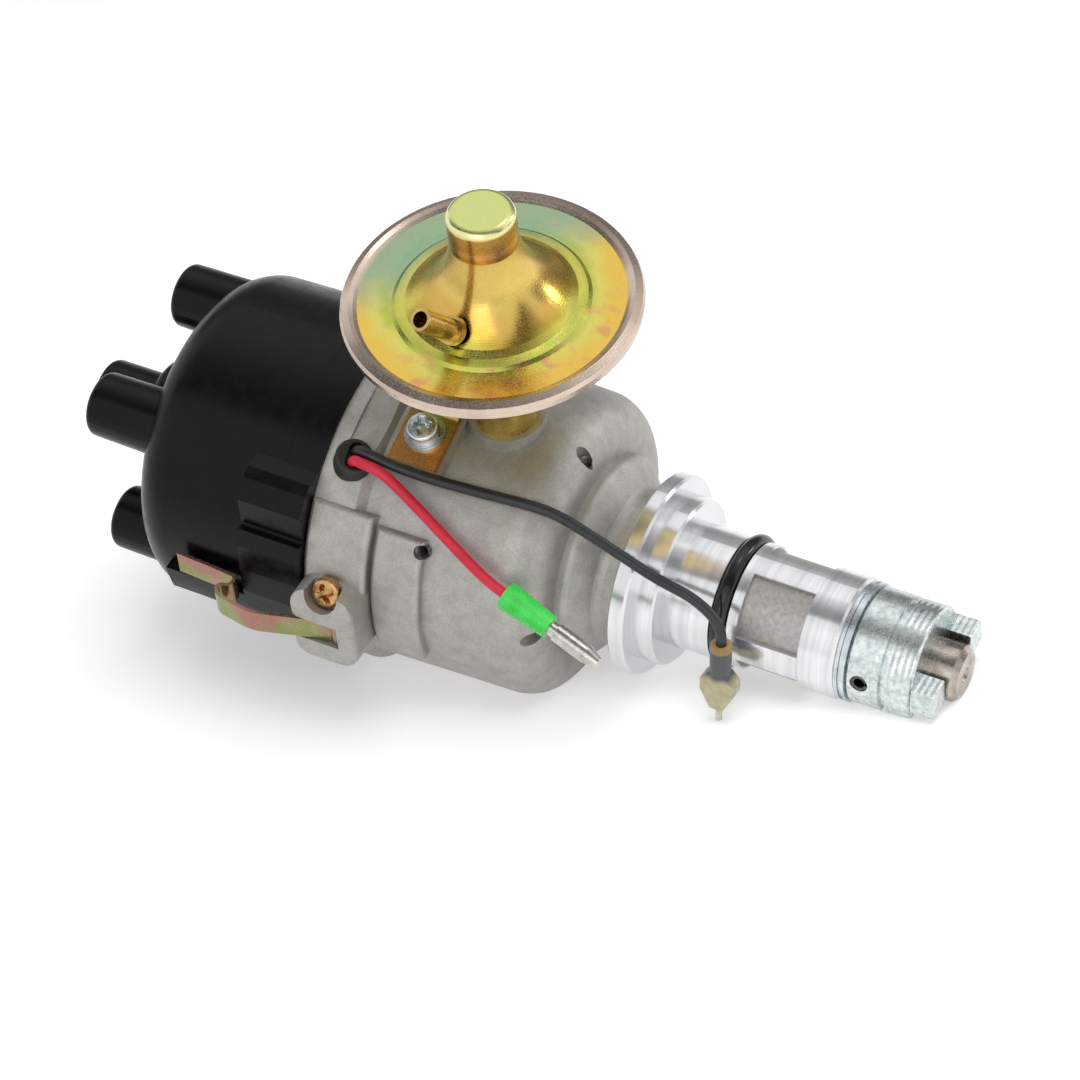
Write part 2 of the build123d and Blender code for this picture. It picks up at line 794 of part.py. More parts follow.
# Potted pickup module beside the trigger wheel, on two screws
module_foot = pickup_top - 3.0
with BuildPart() as pickup_module:
    with BuildSketch(capward(pickup_top, module_clock)):
        with Locations((0, (module_inner + module_reach) / 2)):
            RectangleRounded(module_width, module_reach - module_inner, 1.5)
        Circle(trigger_radius + module_gap, mode=Mode.SUBTRACT)
    extrude(amount=module_height)
    with BuildSketch(capward(pickup_top, module_clock)):
        with Locations((0, module_screw_pitch * cos(radians(module_screw_spread)))):
            RectangleRounded(module_foot_width, 7.5, 3)
        for side in (-1, 1):
            with Locations(disc_spot(module_screw_pitch, side * module_screw_spread)):
                Circle(screw_radius, mode=Mode.SUBTRACT)
    extrude(amount=pickup_top - module_foot)
with BuildPart() as module_screws:
    for side in (-1, 1):
        tap_spot = spot(module_screw_pitch, module_clock + side * module_screw_spread)
        rod(pickup_base, module_foot, screw_radius, at=tap_spot)
        rod(module_foot, module_foot - screw_head_height, screw_head_radius, at=tap_spot)

# Rotor arm on the sleeve, and its brass contact
tip_top = rotor_top - contact_thickness
rotor_tip_radius = tower_pitch - electrode_radius - spark_gap
with BuildPart() as rotor_arm:
    rod(rotor_bottom, rotor_top, rotor_hub_radius)
    with BuildSketch(capward(rotor_top + 5.5, rotor_clock)):
        with Locations((0, rotor_arm_reach / 2)):
            Rectangle(rotor_arm_width, rotor_arm_reach)
    extrude(amount=5.5)
    rod(rotor_bottom, sleeve_end - 0.3, sleeve_radius, Mode.SUBTRACT)
with BuildPart() as rotor_contact:
    with BuildSketch(capward(rotor_top, rotor_clock)):
        with Locations((0, (rotor_tip_radius - 4) / 2)):
            Rectangle(contact_width, rotor_tip_radius + 4)
        Circle(rotor_tip_radius, mode=Mode.INTERSECT)
    extrude(amount=contact_thickness)
    with BuildSketch(capward(rotor_top + 4, rotor_clock)):
        with Locations((0, (rotor_arm_reach + rotor_tip_radius) / 2)):
            Rectangle(rotor_arm_width - 3, rotor_tip_radius - rotor_arm_reach)
        Circle(rotor_tip_radius, mode=Mode.INTERSECT)
    extrude(amount=4)

# Distributor cap: moulded shell, towers, electrode bosses, clip seats and locating lip
crown_inside = cap_crown + crown_thickness
tower_clocks = [tower_clock + index * 360 / tower_count for index in range(tower_count)]
with BuildPart() as distributor_cap:
    with BuildSketch(Plane.XZ) as cap_profile:
        with BuildLine():
            Polyline(
                (cap_joint, 0),
                (cap_joint, cap_radius + cap_band),
                (cap_joint - cap_band_length, cap_radius + cap_band),
                (cap_joint - cap_band_length - cap_band, cap_radius),
                (cap_crown, cap_radius - cap_taper),
                (cap_crown, 0),
                close=True,
            )
        make_face()
        fillet(corner(cap_profile, (cap_crown, cap_radius - cap_taper)), crown_round)
    revolve(axis=Axis.X)
    ring(cap_joint, cap_joint + lip_length, lip_inner_radius, bowl_bore - 0.05)
    # Clip seats: a wide block above the clip, a wall below it and the ledge between them
    for side in clip_sides:
        with BuildSketch(capward(cap_joint, clip_clock - side)):
            with BuildLine():
                Polyline(*[disc_spot(reach, offset) for reach, offset in seat_outline], close=True)
            make_face()
        extrude(amount=cap_joint - seat_face)
        sector(clip_clock - side + trough_clock, trough_arc, trough_end, cap_joint, cap_radius - 5, wall_reach)
    # Towers
    for clock in tower_clocks:
        with BuildSketch(capward(crown_inside)):
            with Locations(disc_spot(tower_pitch, clock)):
                Circle(tower_base_radius)
        tower_rise = crown_inside - tower_end
        extrude(amount=tower_rise, taper=degrees((tower_base_radius - tower_tip_radius) / tower_rise))
    with BuildSketch(Plane.XZ) as boss_profile:
        band(crown_inside, centre_boss_end, 0, centre_boss_radius)
        fillet(corner(boss_profile, (centre_boss_end, centre_boss_radius)), centre_boss_round)
    revolve(axis=Axis.X)
    with BuildSketch(capward(crown_inside)):
        Circle(tower_base_radius)
    centre_rise = crown_inside - centre_tower_end
    extrude(amount=centre_rise, taper=degrees((tower_base_radius - tower_tip_radius) / centre_rise))
    tower_rims = edges().filter_by(GeomType.CIRCLE).filter_by_position(Axis.X, -200, tower_end + 0.1)
    fillet(tower_rims, tower_edge_round)
    # Cavity, electrode bosses and brush holder
    with BuildSketch(Plane.XZ) as cavity_profile:
        with BuildLine():
            Polyline(
                (cap_joint + lip_length + 1, 0),
                (cap_joint + lip_length + 1, lip_inner_radius),
                (cap_joint - 3, lip_inner_radius),
                (cap_joint - 5, cap_radius - cap_wall),
                (crown_inside, cap_radius - cap_taper - cap_wall),
                (crown_inside, 0),
                close=True,
            )
        make_face()
        fillet(corner(cavity_profile, (crown_inside, cap_radius - cap_taper - cap_wall)), 6)
    revolve(axis=Axis.X, mode=Mode.SUBTRACT)
    for clock in tower_clocks:
        boss_spot = spot(tower_pitch, clock)
        rod(crown_inside, electrode_boss_end, electrode_boss_radius, at=boss_spot)
        rod(tower_end, electrode_boss_end, electrode_radius, Mode.SUBTRACT, boss_spot)
        rod(tower_end, tower_end + socket_depth, socket_radius, Mode.SUBTRACT, boss_spot)
    rod(crown_inside, brush_holder_end, brush_holder_radius)
    rod(centre_tower_end, brush_spring_end, electrode_radius, Mode.SUBTRACT)
    rod(brush_spring_end, brush_holder_end, brush_radius + 0.1, Mode.SUBTRACT)
    rod(centre_tower_end, centre_tower_end + socket_depth, socket_radius, Mode.SUBTRACT)

# Tower electrodes, centre electrode, and the carbon brush on its spring
with BuildPart() as tower_electrodes:
    for clock in tower_clocks:
        rod(tower_end + socket_depth, electrode_end, electrode_radius, at=spot(tower_pitch, clock))
with BuildPart() as centre_electrode:
    rod(centre_tower_end + socket_depth, brush_spring_end, electrode_radius)
with BuildPart() as brush_spring:
    with BuildSketch(Plane.XZ):
        with BuildLine():
            wave = [(brush_spring_end, 1.0)]
            brush_pitch = (brush_start - brush_spring_end) / spring_coils
            for coil in range(spring_coils):
                wave.append((brush_spring_end + coil * brush_pitch, brush_radius - 0.6))
                wave.append((brush_spring_end + (coil + 0.5) * brush_pitch, brush_radius - 0.2))
            wave += [(brush_start, brush_radius - 0.6), (brush_start, 1.0)]
            Polyline(*wave, close=True)
        make_face()
    revolve(axis=Axis.X)
with BuildPart() as carbon_brush:
    rod(brush_start, tip_top - slide_gap, brush_radius)

# Spring clips: finger tab, fold behind the cap's ledge, bow and foot in the lug
fold_reach = ledge_reach + free_gap + clip_thickness / 2
clip_corners = [
    (seat_face - 15.6, fold_reach - 1.0),
    (seat_face - 8.0, fold_reach - 0.6),
    (clip_fold, fold_reach),
    (clip_fold, fold_reach + 2.6),
    (clip_fold - 3.2, fold_reach + 3.4),
    (clip_fold - 1.2, clip_bow_reach - 1.6),
    (clip_fold + 7.5, clip_bow_reach),
    (clip_foot - 5.0, clip_foot_reach + 1.0),
    (clip_foot, clip_foot_reach),
]
clips = []
for side in clip_sides:
    with BuildPart() as clip:
        with BuildSketch(lengthwise(clip_clock - side)):
            with BuildLine() as clip_line:
                FilletPolyline(*clip_corners, radius=[20, 1.1, 1.1, 1.1, 3.0, 12, 8])
            trace(line_width=clip_thickness)
            with Locations((clip_foot, clip_foot_reach)):
                Circle(clip_eye_radius)
        extrude(amount=clip_width / 2, both=True)
    clips.append(clip)
front_clip, rear_clip = clips

# Cross recess screws that trap the clips' feet
with BuildPart() as clip_screws:
    for side in clip_sides:
        peg(clip_screw_planes[side], clip_head_radius, clip_head_height)
        peg(clip_screw_planes[side], clip_screw_radius, -clip_screw_length)

# Vacuum capsule, turned about its own axis: floor pan with its snout, and the cover
capsule_plane = lengthwise(capsule_clock, capsule_station)
capsule_axis = Axis((capsule_station, 0, 0), outward(capsule_station, capsule_clock).z_dir)
cover_edge = rim_height - 0.3
pan_edge = cover_edge - diaphragm_thickness
rim_inner = rim_radius - 1.3
with BuildPart() as capsule_pan:
    with BuildSketch(capsule_plane):
        with BuildLine():
            Polyline(
                (snout_bore, snout_seat),
                (snout_radius, snout_seat),
                (snout_radius, capsule_floor),
                (pan_floor_radius, capsule_floor),
                (pan_rim_radius, pan_edge - capsule_sheet),
                (rim_inner, pan_edge - capsule_sheet),
                (rim_inner, pan_edge),
                (pan_rim_radius - capsule_sheet / 2, pan_edge),
                (pan_floor_radius - capsule_sheet / 2, capsule_floor + capsule_sheet),
                (snout_bore, capsule_floor + capsule_sheet),
                close=True,
            )
        make_face()
    revolve(axis=capsule_axis)

with BuildPart() as capsule_cover:
    with BuildSketch(capsule_plane) as cover_profile:
        with BuildLine():
            Polyline(
                (0, boss_top),
                (boss_radius, boss_top),
                (boss_radius, boss_foot),
            )
            flare_middle = (boss_radius + flare_reach, ridge_height + flare_share * (boss_foot - ridge_height))
            flare = ThreePointArc((boss_radius, boss_foot), flare_middle, (cone_foot_radius - 1, ridge_height + 0.9))
            Polyline(
                flare @ 1,
                (cone_foot_radius + 0.6, ridge_height),
                (cone_foot_radius + 2.6, ridge_height - 0.3),
                (cone_foot_radius + 3.4, cover_edge + capsule_sheet),
                (dish_radius, cover_edge + capsule_sheet),
                (bead_inner, cover_edge + capsule_sheet + 0.1),
                (bead_inner + 0.8, rim_height + bead_rise - 0.4),
                (bead_inner + 1.7, rim_height + bead_rise),
                (rim_radius - 0.4, rim_height + bead_rise - 0.7),
                (rim_radius, rim_height - 0.2),
                (rim_radius - 0.2, pan_edge - capsule_sheet - 0.2),
                (rim_inner, pan_edge - capsule_sheet - curl_thickness),
                (curl_radius, pan_edge - capsule_sheet - curl_thickness),
                (curl_radius, pan_edge - capsule_sheet),
                (rim_inner, pan_edge - capsule_sheet),
                (rim_inner, cover_edge),
                (dish_radius, cover_edge),
                (cone_foot_radius + 2.8, cover_edge),
                (cone_foot_radius + 0.4, ridge_height - capsule_sheet),
            )
            hollow_foot = ridge_height - capsule_sheet
            hollow_wall = boss_radius - capsule_sheet
            hollow = ThreePointArc(
                (cone_foot_radius + 0.4, hollow_foot),
                (hollow_wall + hollow_reach, hollow_foot + hollow_share * (boss_foot - hollow_foot)),
                (boss_radius - capsule_sheet, boss_foot),
            )
            Polyline(
                hollow @ 1,
                (boss_radius - capsule_sheet, boss_top - capsule_sheet),
                (0, boss_top - capsule_sheet),
                (0, boss_top),
            )
        make_face()
        fillet(corner(cover_profile, (boss_radius, boss_top)), boss_round)
    revolve(axis=capsule_axis)
    peg(nipple_plane.offset(-4), nipple_radius + running_fit, 10, Mode.SUBTRACT)
with BuildPart() as vacuum_nipple:
    with BuildSketch(nipple_plane.offset(nipple_seat)):
        Circle(nipple_radius)
    extrude(amount=nipple_length)
    with BuildSketch(nipple_plane.offset(nipple_seat)):
        Circle(nipple_radius + nipple_collar)
    extrude(amount=1.6)
    peg(nipple_plane, nipple_bore, nipple_length + nipple_seat, Mode.SUBTRACT)

# Diaphragm clamped in the rim, with the rod and the flat link that pulls the pickup plate
with BuildPart() as diaphragm:
    with BuildSketch(capsule_plane):
        band(plate_disc_radius, rim_inner, pan_edge, cover_edge)
    revolve(axis=capsule_axis)
link_plane = capward(capsule_station + link_thickness / 2, capsule_clock)
link_top = pan_edge - 0.8
with BuildPart() as vacuum_link:
    with BuildSketch(link_plane):
        with BuildLine():
            Polyline((0, link_top), (0, 30), (peg_offset, 9), (peg_offset, 0))
        trace(line_width=link_width)
        with Locations((peg_offset, 0)):
            Circle(3.6)
            Circle(peg_radius + 0.35, mode=Mode.SUBTRACT)
    extrude(amount=link_thickness)
    with BuildSketch(capsule_plane):
        band(0, 3.0, link_top - 3, cover_edge)
        band(0, plate_disc_radius, cover_edge, cover_edge + 1.0)
        band(0, plate_disc_radius - 0.05, pan_edge - 0.8, cover_edge)
    revolve(axis=capsule_axis)

# Return spring between the diaphragm plate and the inside of the boss
with BuildPart() as vacuum_spring:
    with BuildSketch(capsule_plane):
        with BuildLine():
            spring_foot = cover_edge + 1.0
            spring_rise = boss_top - capsule_sheet - spring_foot
            turn_height = spring_rise / vacuum_spring_turns
            zigzag = [(vacuum_spring_radius - 1.2, spring_foot)]
            for turn in range(vacuum_spring_turns):
                zigzag.append((vacuum_spring_radius - 0.5, spring_foot + turn * turn_height))
                zigzag.append((vacuum_spring_radius, spring_foot + (turn + 0.5) * turn_height))
            zigzag.append((vacuum_spring_radius - 0.5, spring_foot + spring_rise))
            zigzag.append((vacuum_spring_radius - 1.2, spring_foot + spring_rise))
            Polyline(*zigzag, close=True)
        make_face()
    revolve(axis=capsule_axis)

# Bracket: narrow channel welded under the pan, with two feet on the body's pads
with BuildPart() as capsule_bracket:
    with BuildSketch(capward(bracket_station + bracket_width / 2, capsule_clock)):
        with BuildLine():
            FilletPolyline(*bracket_half(-1), *reversed(bracket_half(1)), radius=2.0)
        trace(line_width=bracket_thickness)
    extrude(amount=bracket_width)
    for side in (1, -1):
        foot_clock = capsule_clock + side * bracket_foot_angle
        peg(outward(bracket_station, foot_clock, pad_height - 1), bracket_screw_radius, 4, Mode.SUBTRACT)
with BuildPart() as bracket_washers:
    for side in (1, -1):
        foot_clock = capsule_clock + side * bracket_foot_angle
        with BuildSketch(outward(bracket_station, foot_clock, pad_height + bracket_thickness)):
            Circle(bracket_washer_radius)
            Circle(bracket_screw_radius, mode=Mode.SUBTRACT)
        extrude(amount=bracket_washer_thickness)
with BuildPart() as bracket_screws:
    for side in (1, -1):
        foot_clock = capsule_clock + side * bracket_foot_angle
        head_seat = pad_height + bracket_thickness + bracket_washer_thickness
        with BuildSketch(outward(bracket_station, foot_clock, head_seat)):
            Circle(bracket_head_radius)
        extrude(amount=bracket_head_height, taper=12)
        peg(outward(bracket_station, foot_clock, head_seat), bracket_screw_radius, -9)

# Grommet of the two leads, seated in the bowl's wall
with BuildPart() as grommet:
    peg(grommet_plane, grommet_waist, grommet_height)
    with BuildSketch(grommet_plane.offset(grommet_skirt_start)):
        Circle(grommet_radius)
    extrude(amount=grommet_height - grommet_skirt_start, taper=4)
    fillet(edges().filter_by(GeomType.CIRCLE).sort_by_distance(grommet_top.origin)[0], 0.8)
    with BuildSketch(grommet_top):
        SlotOverall(4 * lead_radius + 1.4, 2 * lead_radius + 0.8)
    extrude(amount=-grommet_recess, mode=Mode.SUBTRACT)


def lead(points, name):
    """Round lead along straight runs, joined by the largest tangent arcs that its runs allow."""
    corners = [Vector(*point) for point in points]
    runs = [after - before for before, after in zip(corners, corners[1:])]
    bends = []
    for before, after in zip(runs, runs[1:]):
        turn = radians(before.get_angle(after))
        bends.append(0.45 * min(before.length, after.length) / tan(turn / 2))
    with BuildPart() as cord:
        with BuildLine():
            route = FilletPolyline(*corners, radius=bends)
        with BuildSketch(Plane(origin=corners[0], z_dir=runs[0])):
            Circle(lead_radius)
        sweep()
    section_length = pi * lead_radius**2 * route.length
    print(name, "length", round(route.length, 1), "bend radii", [round(bend, 1) for bend in bends])
    print(name, "volume over section times length", round(cord.part.volume / section_length, 4))
    return cord


red_lead = lead(red_route, "red lead")
black_lead = lead(black_route, "black lead")

# Terminals: each is turned about the line in which its lead ends
red_end = Plane(origin=red_route[-1], z_dir=Vector(*red_route[-1]) - Vector(*red_route[-2]))
with BuildPart() as red_sleeve:
    with BuildSketch(red_end):
        Circle(red_sleeve_radius)
    with BuildSketch(red_end.offset(red_sleeve_length)):
        Circle(red_sleeve_neck)
    loft()
    stem_start = red_end.offset(red_sleeve_length - bullet_grip)
    peg(stem_start, bullet_stem_radius, bullet_grip + 1, Mode.SUBTRACT)
with BuildPart() as red_bullet:
    peg(stem_start, bullet_stem_radius, bullet_stem_length)
    barrel_start = stem_start.offset(bullet_stem_length)
    with BuildSketch(barrel_start):
        Circle(bullet_radius)
    extrude(amount=bullet_barrel)
    with BuildSketch(barrel_start.offset(bullet_barrel)):
        Circle(bullet_radius)
    extrude(amount=bullet_nose, taper=bullet_taper)
black_end = Plane(origin=black_route[-1], z_dir=Vector(*black_route[-1]) - Vector(*black_route[-2]))
black_face = Plane(origin=black_end.origin, x_dir=(1, 0, 0), z_dir=(0, -1, 0))
hood_outline = [
    (-hood_neck, hood_start),
    (-hood_width / 2, hood_shoulder),
    (-hood_width / 2, hood_corner),
    (-hood_tip, hood_end),
    (hood_tip, hood_end),
    (hood_width / 2, hood_corner),
    (hood_width / 2, hood_shoulder),
    (hood_neck, hood_start),
]
with BuildPart() as black_sleeve:
    peg(black_end, black_sleeve_radius, black_sleeve_length)
    with BuildSketch(black_face):
        with BuildLine():
            Polyline(*[(x, -y) for x, y in hood_outline], close=True)
        make_face()
    extrude(amount=hood_thickness / 2, both=True)
    peg(black_end.offset(blade_start), blade_radius, hood_end - blade_start + 1, Mode.SUBTRACT)
with BuildPart() as black_blade:
    peg(black_end.offset(blade_start), blade_radius, blade_length)

pieces = {
    "body_casting": body_casting,
    "upper_bush": upper_bush,
    "lower_bush": lower_bush,
    "o_ring": o_ring,
    "main_shaft": main_shaft,
    "thrust_washers": thrust_washers,
    "upper_washer": upper_washer,
    "drive_dog": drive_dog,
    "dog_pin": dog_pin,
    "action_plate": action_plate,
    "weight_a": weight_a,
    "weight_b": weight_b,
    "cam_sleeve": cam_sleeve,
    "advance_springs": advance_springs,
    "trigger_wheel": trigger_wheel,
    "bearing_plate": bearing_plate,
    "plate_screws": plate_screws,
    "pickup_plate": pickup_plate,
    "pickup_module": pickup_module,
    "module_screws": module_screws,
    "rotor_arm": rotor_arm,
    "rotor_contact": rotor_contact,
    "distributor_cap": distributor_cap,
    "tower_electrodes": tower_electrodes,
    "centre_electrode": centre_electrode,
    "brush_spring": brush_spring,
    "carbon_brush": carbon_brush,
    "front_clip": front_clip,
    "rear_clip": rear_clip,
    "clip_screws": clip_screws,
    "capsule_pan": capsule_pan,
    "capsule_cover": capsule_cover,
    "vacuum_nipple": vacuum_nipple,
    "diaphragm": diaphragm,
    "vacuum_link": vacuum_link,
    "vacuum_spring": vacuum_spring,
    "capsule_bracket": capsule_bracket,
    "bracket_washers": bracket_washers,
    "bracket_screws": bracket_screws,
    "grommet": grommet,
    "red_lead": red_lead,
    "red_sleeve": red_sleeve,
    "red_bullet": red_bullet,
    "black_lead": black_lead,
    "black_sleeve": black_sleeve,
    "black_blade": black_blade,
}
for name, piece in pieces.items():
    piece.part.label = name
    export_step(piece.part, f"parts/{name}.step")
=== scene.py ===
import bpy
import numpy as np
from mathutils import Matrix


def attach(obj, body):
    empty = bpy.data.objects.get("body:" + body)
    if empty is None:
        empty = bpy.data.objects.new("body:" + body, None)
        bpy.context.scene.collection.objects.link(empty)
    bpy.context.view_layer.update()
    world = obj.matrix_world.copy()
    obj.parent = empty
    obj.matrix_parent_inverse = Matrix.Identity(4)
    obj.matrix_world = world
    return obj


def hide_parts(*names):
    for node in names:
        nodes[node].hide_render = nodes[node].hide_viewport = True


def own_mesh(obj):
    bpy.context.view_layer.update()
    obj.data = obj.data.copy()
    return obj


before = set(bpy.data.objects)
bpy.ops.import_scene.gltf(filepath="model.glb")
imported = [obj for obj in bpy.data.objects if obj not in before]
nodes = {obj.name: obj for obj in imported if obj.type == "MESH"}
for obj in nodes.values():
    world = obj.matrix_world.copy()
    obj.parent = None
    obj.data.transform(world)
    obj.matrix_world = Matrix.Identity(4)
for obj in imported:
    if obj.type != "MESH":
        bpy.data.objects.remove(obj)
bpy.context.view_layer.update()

# Camera
# A long lens above the part and in front of it, standing a little towards the dog end. Its place
# and turn come from the circles of the cap, the capsule, the flange and the shank.
film_width, focal_length = 36.0, 147.93
nearest, farthest = 0.05, 20.0
lens = bpy.data.cameras.new("viewpoint")
lens.sensor_width = film_width
lens.lens = focal_length
lens.clip_start, lens.clip_end = nearest, farthest
camera = bpy.data.objects.new("viewpoint", lens)
camera.matrix_world = Matrix((
    (0.88516, -0.29640, 0.35866, 0.3037),
    (0.46529, 0.56434, -0.68193, -0.6449),
    (-0.00028, 0.77050, 0.63744, 0.6009),
    (0.0, 0.0, 0.0, 1.0),
))
bpy.context.scene.collection.objects.link(camera)
bpy.context.scene.camera = camera


# Lamps and surroundings
# A wide soft lamp overhead, a weaker one low in front and a narrow one behind. The room is
# white where it is seen, also in gloss, and dimmer where it only lights the part.
def sums(tree, operation, first, second):
    """One step of arithmetic between two values, either of which may be a plain number."""
    step = tree.nodes.new("ShaderNodeMath")
    step.operation = operation
    for socket, value in zip(step.inputs, (first, second)):
        if isinstance(value, (int, float)):
            socket.default_value = value
        else:
            tree.links.new(value, socket)
    return step.outputs[0]


def ranged(tree, value, low, high, start=0.3, end=0.7, smooth=False):
    """A value that runs from low to high as the one given runs from start to end."""
    scale = tree.nodes.new("ShaderNodeMapRange")
    if smooth:
        scale.interpolation_type = "SMOOTHSTEP"
    limits = {"From Min": start, "From Max": end, "To Min": low, "To Max": high}
    for socket, number in limits.items():
        scale.inputs[socket].default_value = number
    tree.links.new(value, scale.inputs["Value"])
    return scale.outputs["Result"]


room_as_light, room_as_seen = 0.30, 1.0
scene = bpy.context.scene
scene.view_settings.view_transform = "Standard"
room = bpy.data.worlds.new("studio")
room.use_nodes = True
scene.world = room
room_tree = room.node_tree
room_rays = room_tree.nodes.new("ShaderNodeLightPath").outputs
room_shiny = sums(room_tree, "MAXIMUM", room_rays["Is Glossy Ray"], room_rays["Is Transmission Ray"])
room_seen = sums(room_tree, "MAXIMUM", room_rays["Is Camera Ray"], room_shiny)
room_level = ranged(room_tree, room_seen, room_as_light, room_as_seen, 0.0, 1.0)
room_glow = room_tree.nodes["Background"].inputs
room_tree.links.new(room_level, room_glow["Strength"])
room_glow["Color"].default_value = (1.0, 1.0, 1.0, 1.0)
# Each lamp's name, its stand, the point that it faces, its width and its power in watts
lamps = (
    ("overhead", (0.02, -0.10, 1.00), (-0.03, 0.0, 0.0), 0.80, 7.6),
    ("front", (0.10, -0.95, 0.45), (-0.03, 0.0, 0.0), 0.60, 1.3),
    ("behind", (0.55, 0.75, 0.45), (0.0, 0.0, 0.0), 0.25, 1.8),
)
for name, stand, target, width, power in lamps:
    lamp = bpy.data.lights.new(name, "AREA")
    lamp.size = width
    lamp.energy = power
    holder = bpy.data.objects.new(name, lamp)
    away = np.array(stand) - np.array(target)
    away = away / np.linalg.norm(away)
    across = np.cross((0.0, 0.0, 1.0), away)
    across = across / np.linalg.norm(across)
    turned = np.stack([across, np.cross(away, across), away], axis=1)
    holder.matrix_world = Matrix.Translation(stand) @ Matrix(turned.tolist()).to_4x4()
    scene.collection.objects.link(holder)


# Dark cards
# Photographers' black cards, which only gloss sees. A long one hangs over the shaft a little to
# the front and draws the dark streak along the bright metal, and one stands behind the part.
def bare(name):
    """Material with nothing in it but its output, then its node tree and its surface socket."""
    material = bpy.data.materials.new(name)
    material.use_nodes = True
    tree = material.node_tree
    tree.nodes.clear()
    return material, tree, tree.nodes.new("ShaderNodeOutputMaterial").inputs["Surface"]


card_black, card_tree, card_surface = bare("card_black")
card_glow = card_tree.nodes.new("ShaderNodeEmission")
card_tone = card_tree.nodes.new("ShaderNodeVertexColor")
card_tone.layer_name = "tone"
card_tree.links.new(card_tone.outputs["Color"], card_glow.inputs["Color"])
card_tree.links.new(card_glow.outputs[0], card_surface)
card_ends = (-2.0, 2.0)
# Each card's name, its lean from upright at every fold, its grey there and its distance
cards = (
    ("streak_card", (-12.0, 4.0, 14.0, 24.0, 33.0), (0.85, 0.45, 0.16, 0.07, 0.05), 0.70),
    ("back_card", (-88.0, -70.0, -55.0, -42.0), (0.30, 0.22, 0.30, 0.75), 0.90),
)
for name, leans, tones, distance in cards:
    lean = np.radians(np.array(leans))
    folds = np.stack([-distance * np.sin(lean), distance * np.cos(lean)], axis=1)
    count = len(folds)
    points = np.concatenate([np.column_stack([np.full(count, end), folds]) for end in card_ends])
    strips = [(index, index + 1, index + 1 + count, index + count) for index in range(count - 1)]
    card_mesh = bpy.data.meshes.new(name)
    card_mesh.from_pydata(points.tolist(), [], strips)
    tone = card_mesh.color_attributes.new("tone", "FLOAT_COLOR", "POINT")
    grey = np.tile(np.array(tones), len(card_ends))
    tone.data.foreach_set("color", np.column_stack([grey, grey, grey, np.ones_like(grey)]).ravel())
    card_mesh.materials.append(card_black)
    card = bpy.data.objects.new(name, card_mesh)
    scene.collection.objects.link(card)
    card.visible_camera = card.visible_diffuse = card.visible_shadow = False
    card.visible_transmission = card.visible_volume_scatter = False

# Floor
# A plain white board. The part lies on its bowl's skirt and its flange, so the board slopes
# under the level shaft. Seen from underneath it is clear.
skirt_foot = np.array([-0.0625, 0.0, -0.0364])
flange_foot = np.array([-0.0054, 0.0, -0.0220])
board_half, board_drop = 2.0, 0.0001
board_grey, board_glow = 0.80, 0.42
slope = (flange_foot - skirt_foot) / np.linalg.norm(flange_foot - skirt_foot)
crosswise = np.array([0.0, 1.0, 0.0])
corners = [
    skirt_foot + board_half * (along * slope + over * crosswise) - np.array([0.0, 0.0, board_drop])
    for along, over in ((-1, -1), (1, -1), (1, 1), (-1, 1))
]
board_mesh = bpy.data.meshes.new("floor_board")
board_mesh.from_pydata([corner.tolist() for corner in corners], [], [(0, 1, 2, 3)])
board = bpy.data.objects.new("floor_board", board_mesh)
scene.collection.objects.link(board)
board_white, board_tree, board_surface = bare("board_white")
matt = board_tree.nodes.new("ShaderNodeBsdfDiffuse")
matt.inputs["Color"].default_value = (board_grey, board_grey, board_grey, 1.0)
glow = board_tree.nodes.new("ShaderNodeEmission")
board_rays = board_tree.nodes.new("ShaderNodeLightPath").outputs
board_seen = sums(board_tree, "MAXIMUM", board_rays["Is Camera Ray"], board_rays["Is Glossy Ray"])
board_tree.links.new(sums(board_tree, "MULTIPLY", board_seen, board_glow), glow.inputs["Strength"])
lit = board_tree.nodes.new("ShaderNodeAddShader")
board_tree.links.new(matt.outputs[0], lit.inputs[0])
board_tree.links.new(glow.outputs[0], lit.inputs[1])
clear = board_tree.nodes.new("ShaderNodeBsdfTransparent")
underside = board_tree.nodes.new("ShaderNodeNewGeometry")
either = board_tree.nodes.new("ShaderNodeMixShader")
board_tree.links.new(underside.outputs["Backfacing"], either.inputs[0])
board_tree.links.new(lit.outputs[0], either.inputs[1])
board_tree.links.new(clear.outputs[0], either.inputs[2])
board_tree.links.new(either.outputs[0], board_surface)
board_mesh.materials.append(board_white)


# Body casting
# The bowl, neck and shank are one aluminium pressure casting. Its outside is grit blasted, and
# its flange, shank and collars are turned bright, which leaves rough windows between them.
def shade(red, green, blue):
    """Screen values from 0 to 255 as the linear colour that a shader takes."""
    screen = np.array([red, green, blue]) / 255
    linear = np.where(screen <= 0.04045, screen / 12.92, ((screen + 0.055) / 1.055) ** 2.4)
    return (*linear.tolist(), 1.0)


def speckle(tree, place, size, detail=3.0, roughness=0.55):
    """Cloudy noise with features of about a size in metres: 0 to 1 about a mean of a half."""
    noise = tree.nodes.new("ShaderNodeTexNoise")
    noise.inputs["Scale"].default_value = 1.0 / size
    noise.inputs["Detail"].default_value = detail
    noise.inputs["Roughness"].default_value = roughness
    tree.links.new(place, noise.inputs["Vector"])
    return noise.outputs["Fac"]


def waves(tree, place, pattern, axis, scale, distortion=0.0):
    """Even waves from 0 to 1, flat along an axis or in rings round it. One is 0.31 m / scale."""
    wave = tree.nodes.new("ShaderNodeTexWave")
    wave.wave_type = pattern
    wave.bands_direction = wave.rings_direction = axis
    wave.inputs["Scale"].default_value = scale
    wave.inputs["Distortion"].default_value = distortion
    tree.links.new(place, wave.inputs["Vector"])
    return wave.outputs["Fac"]


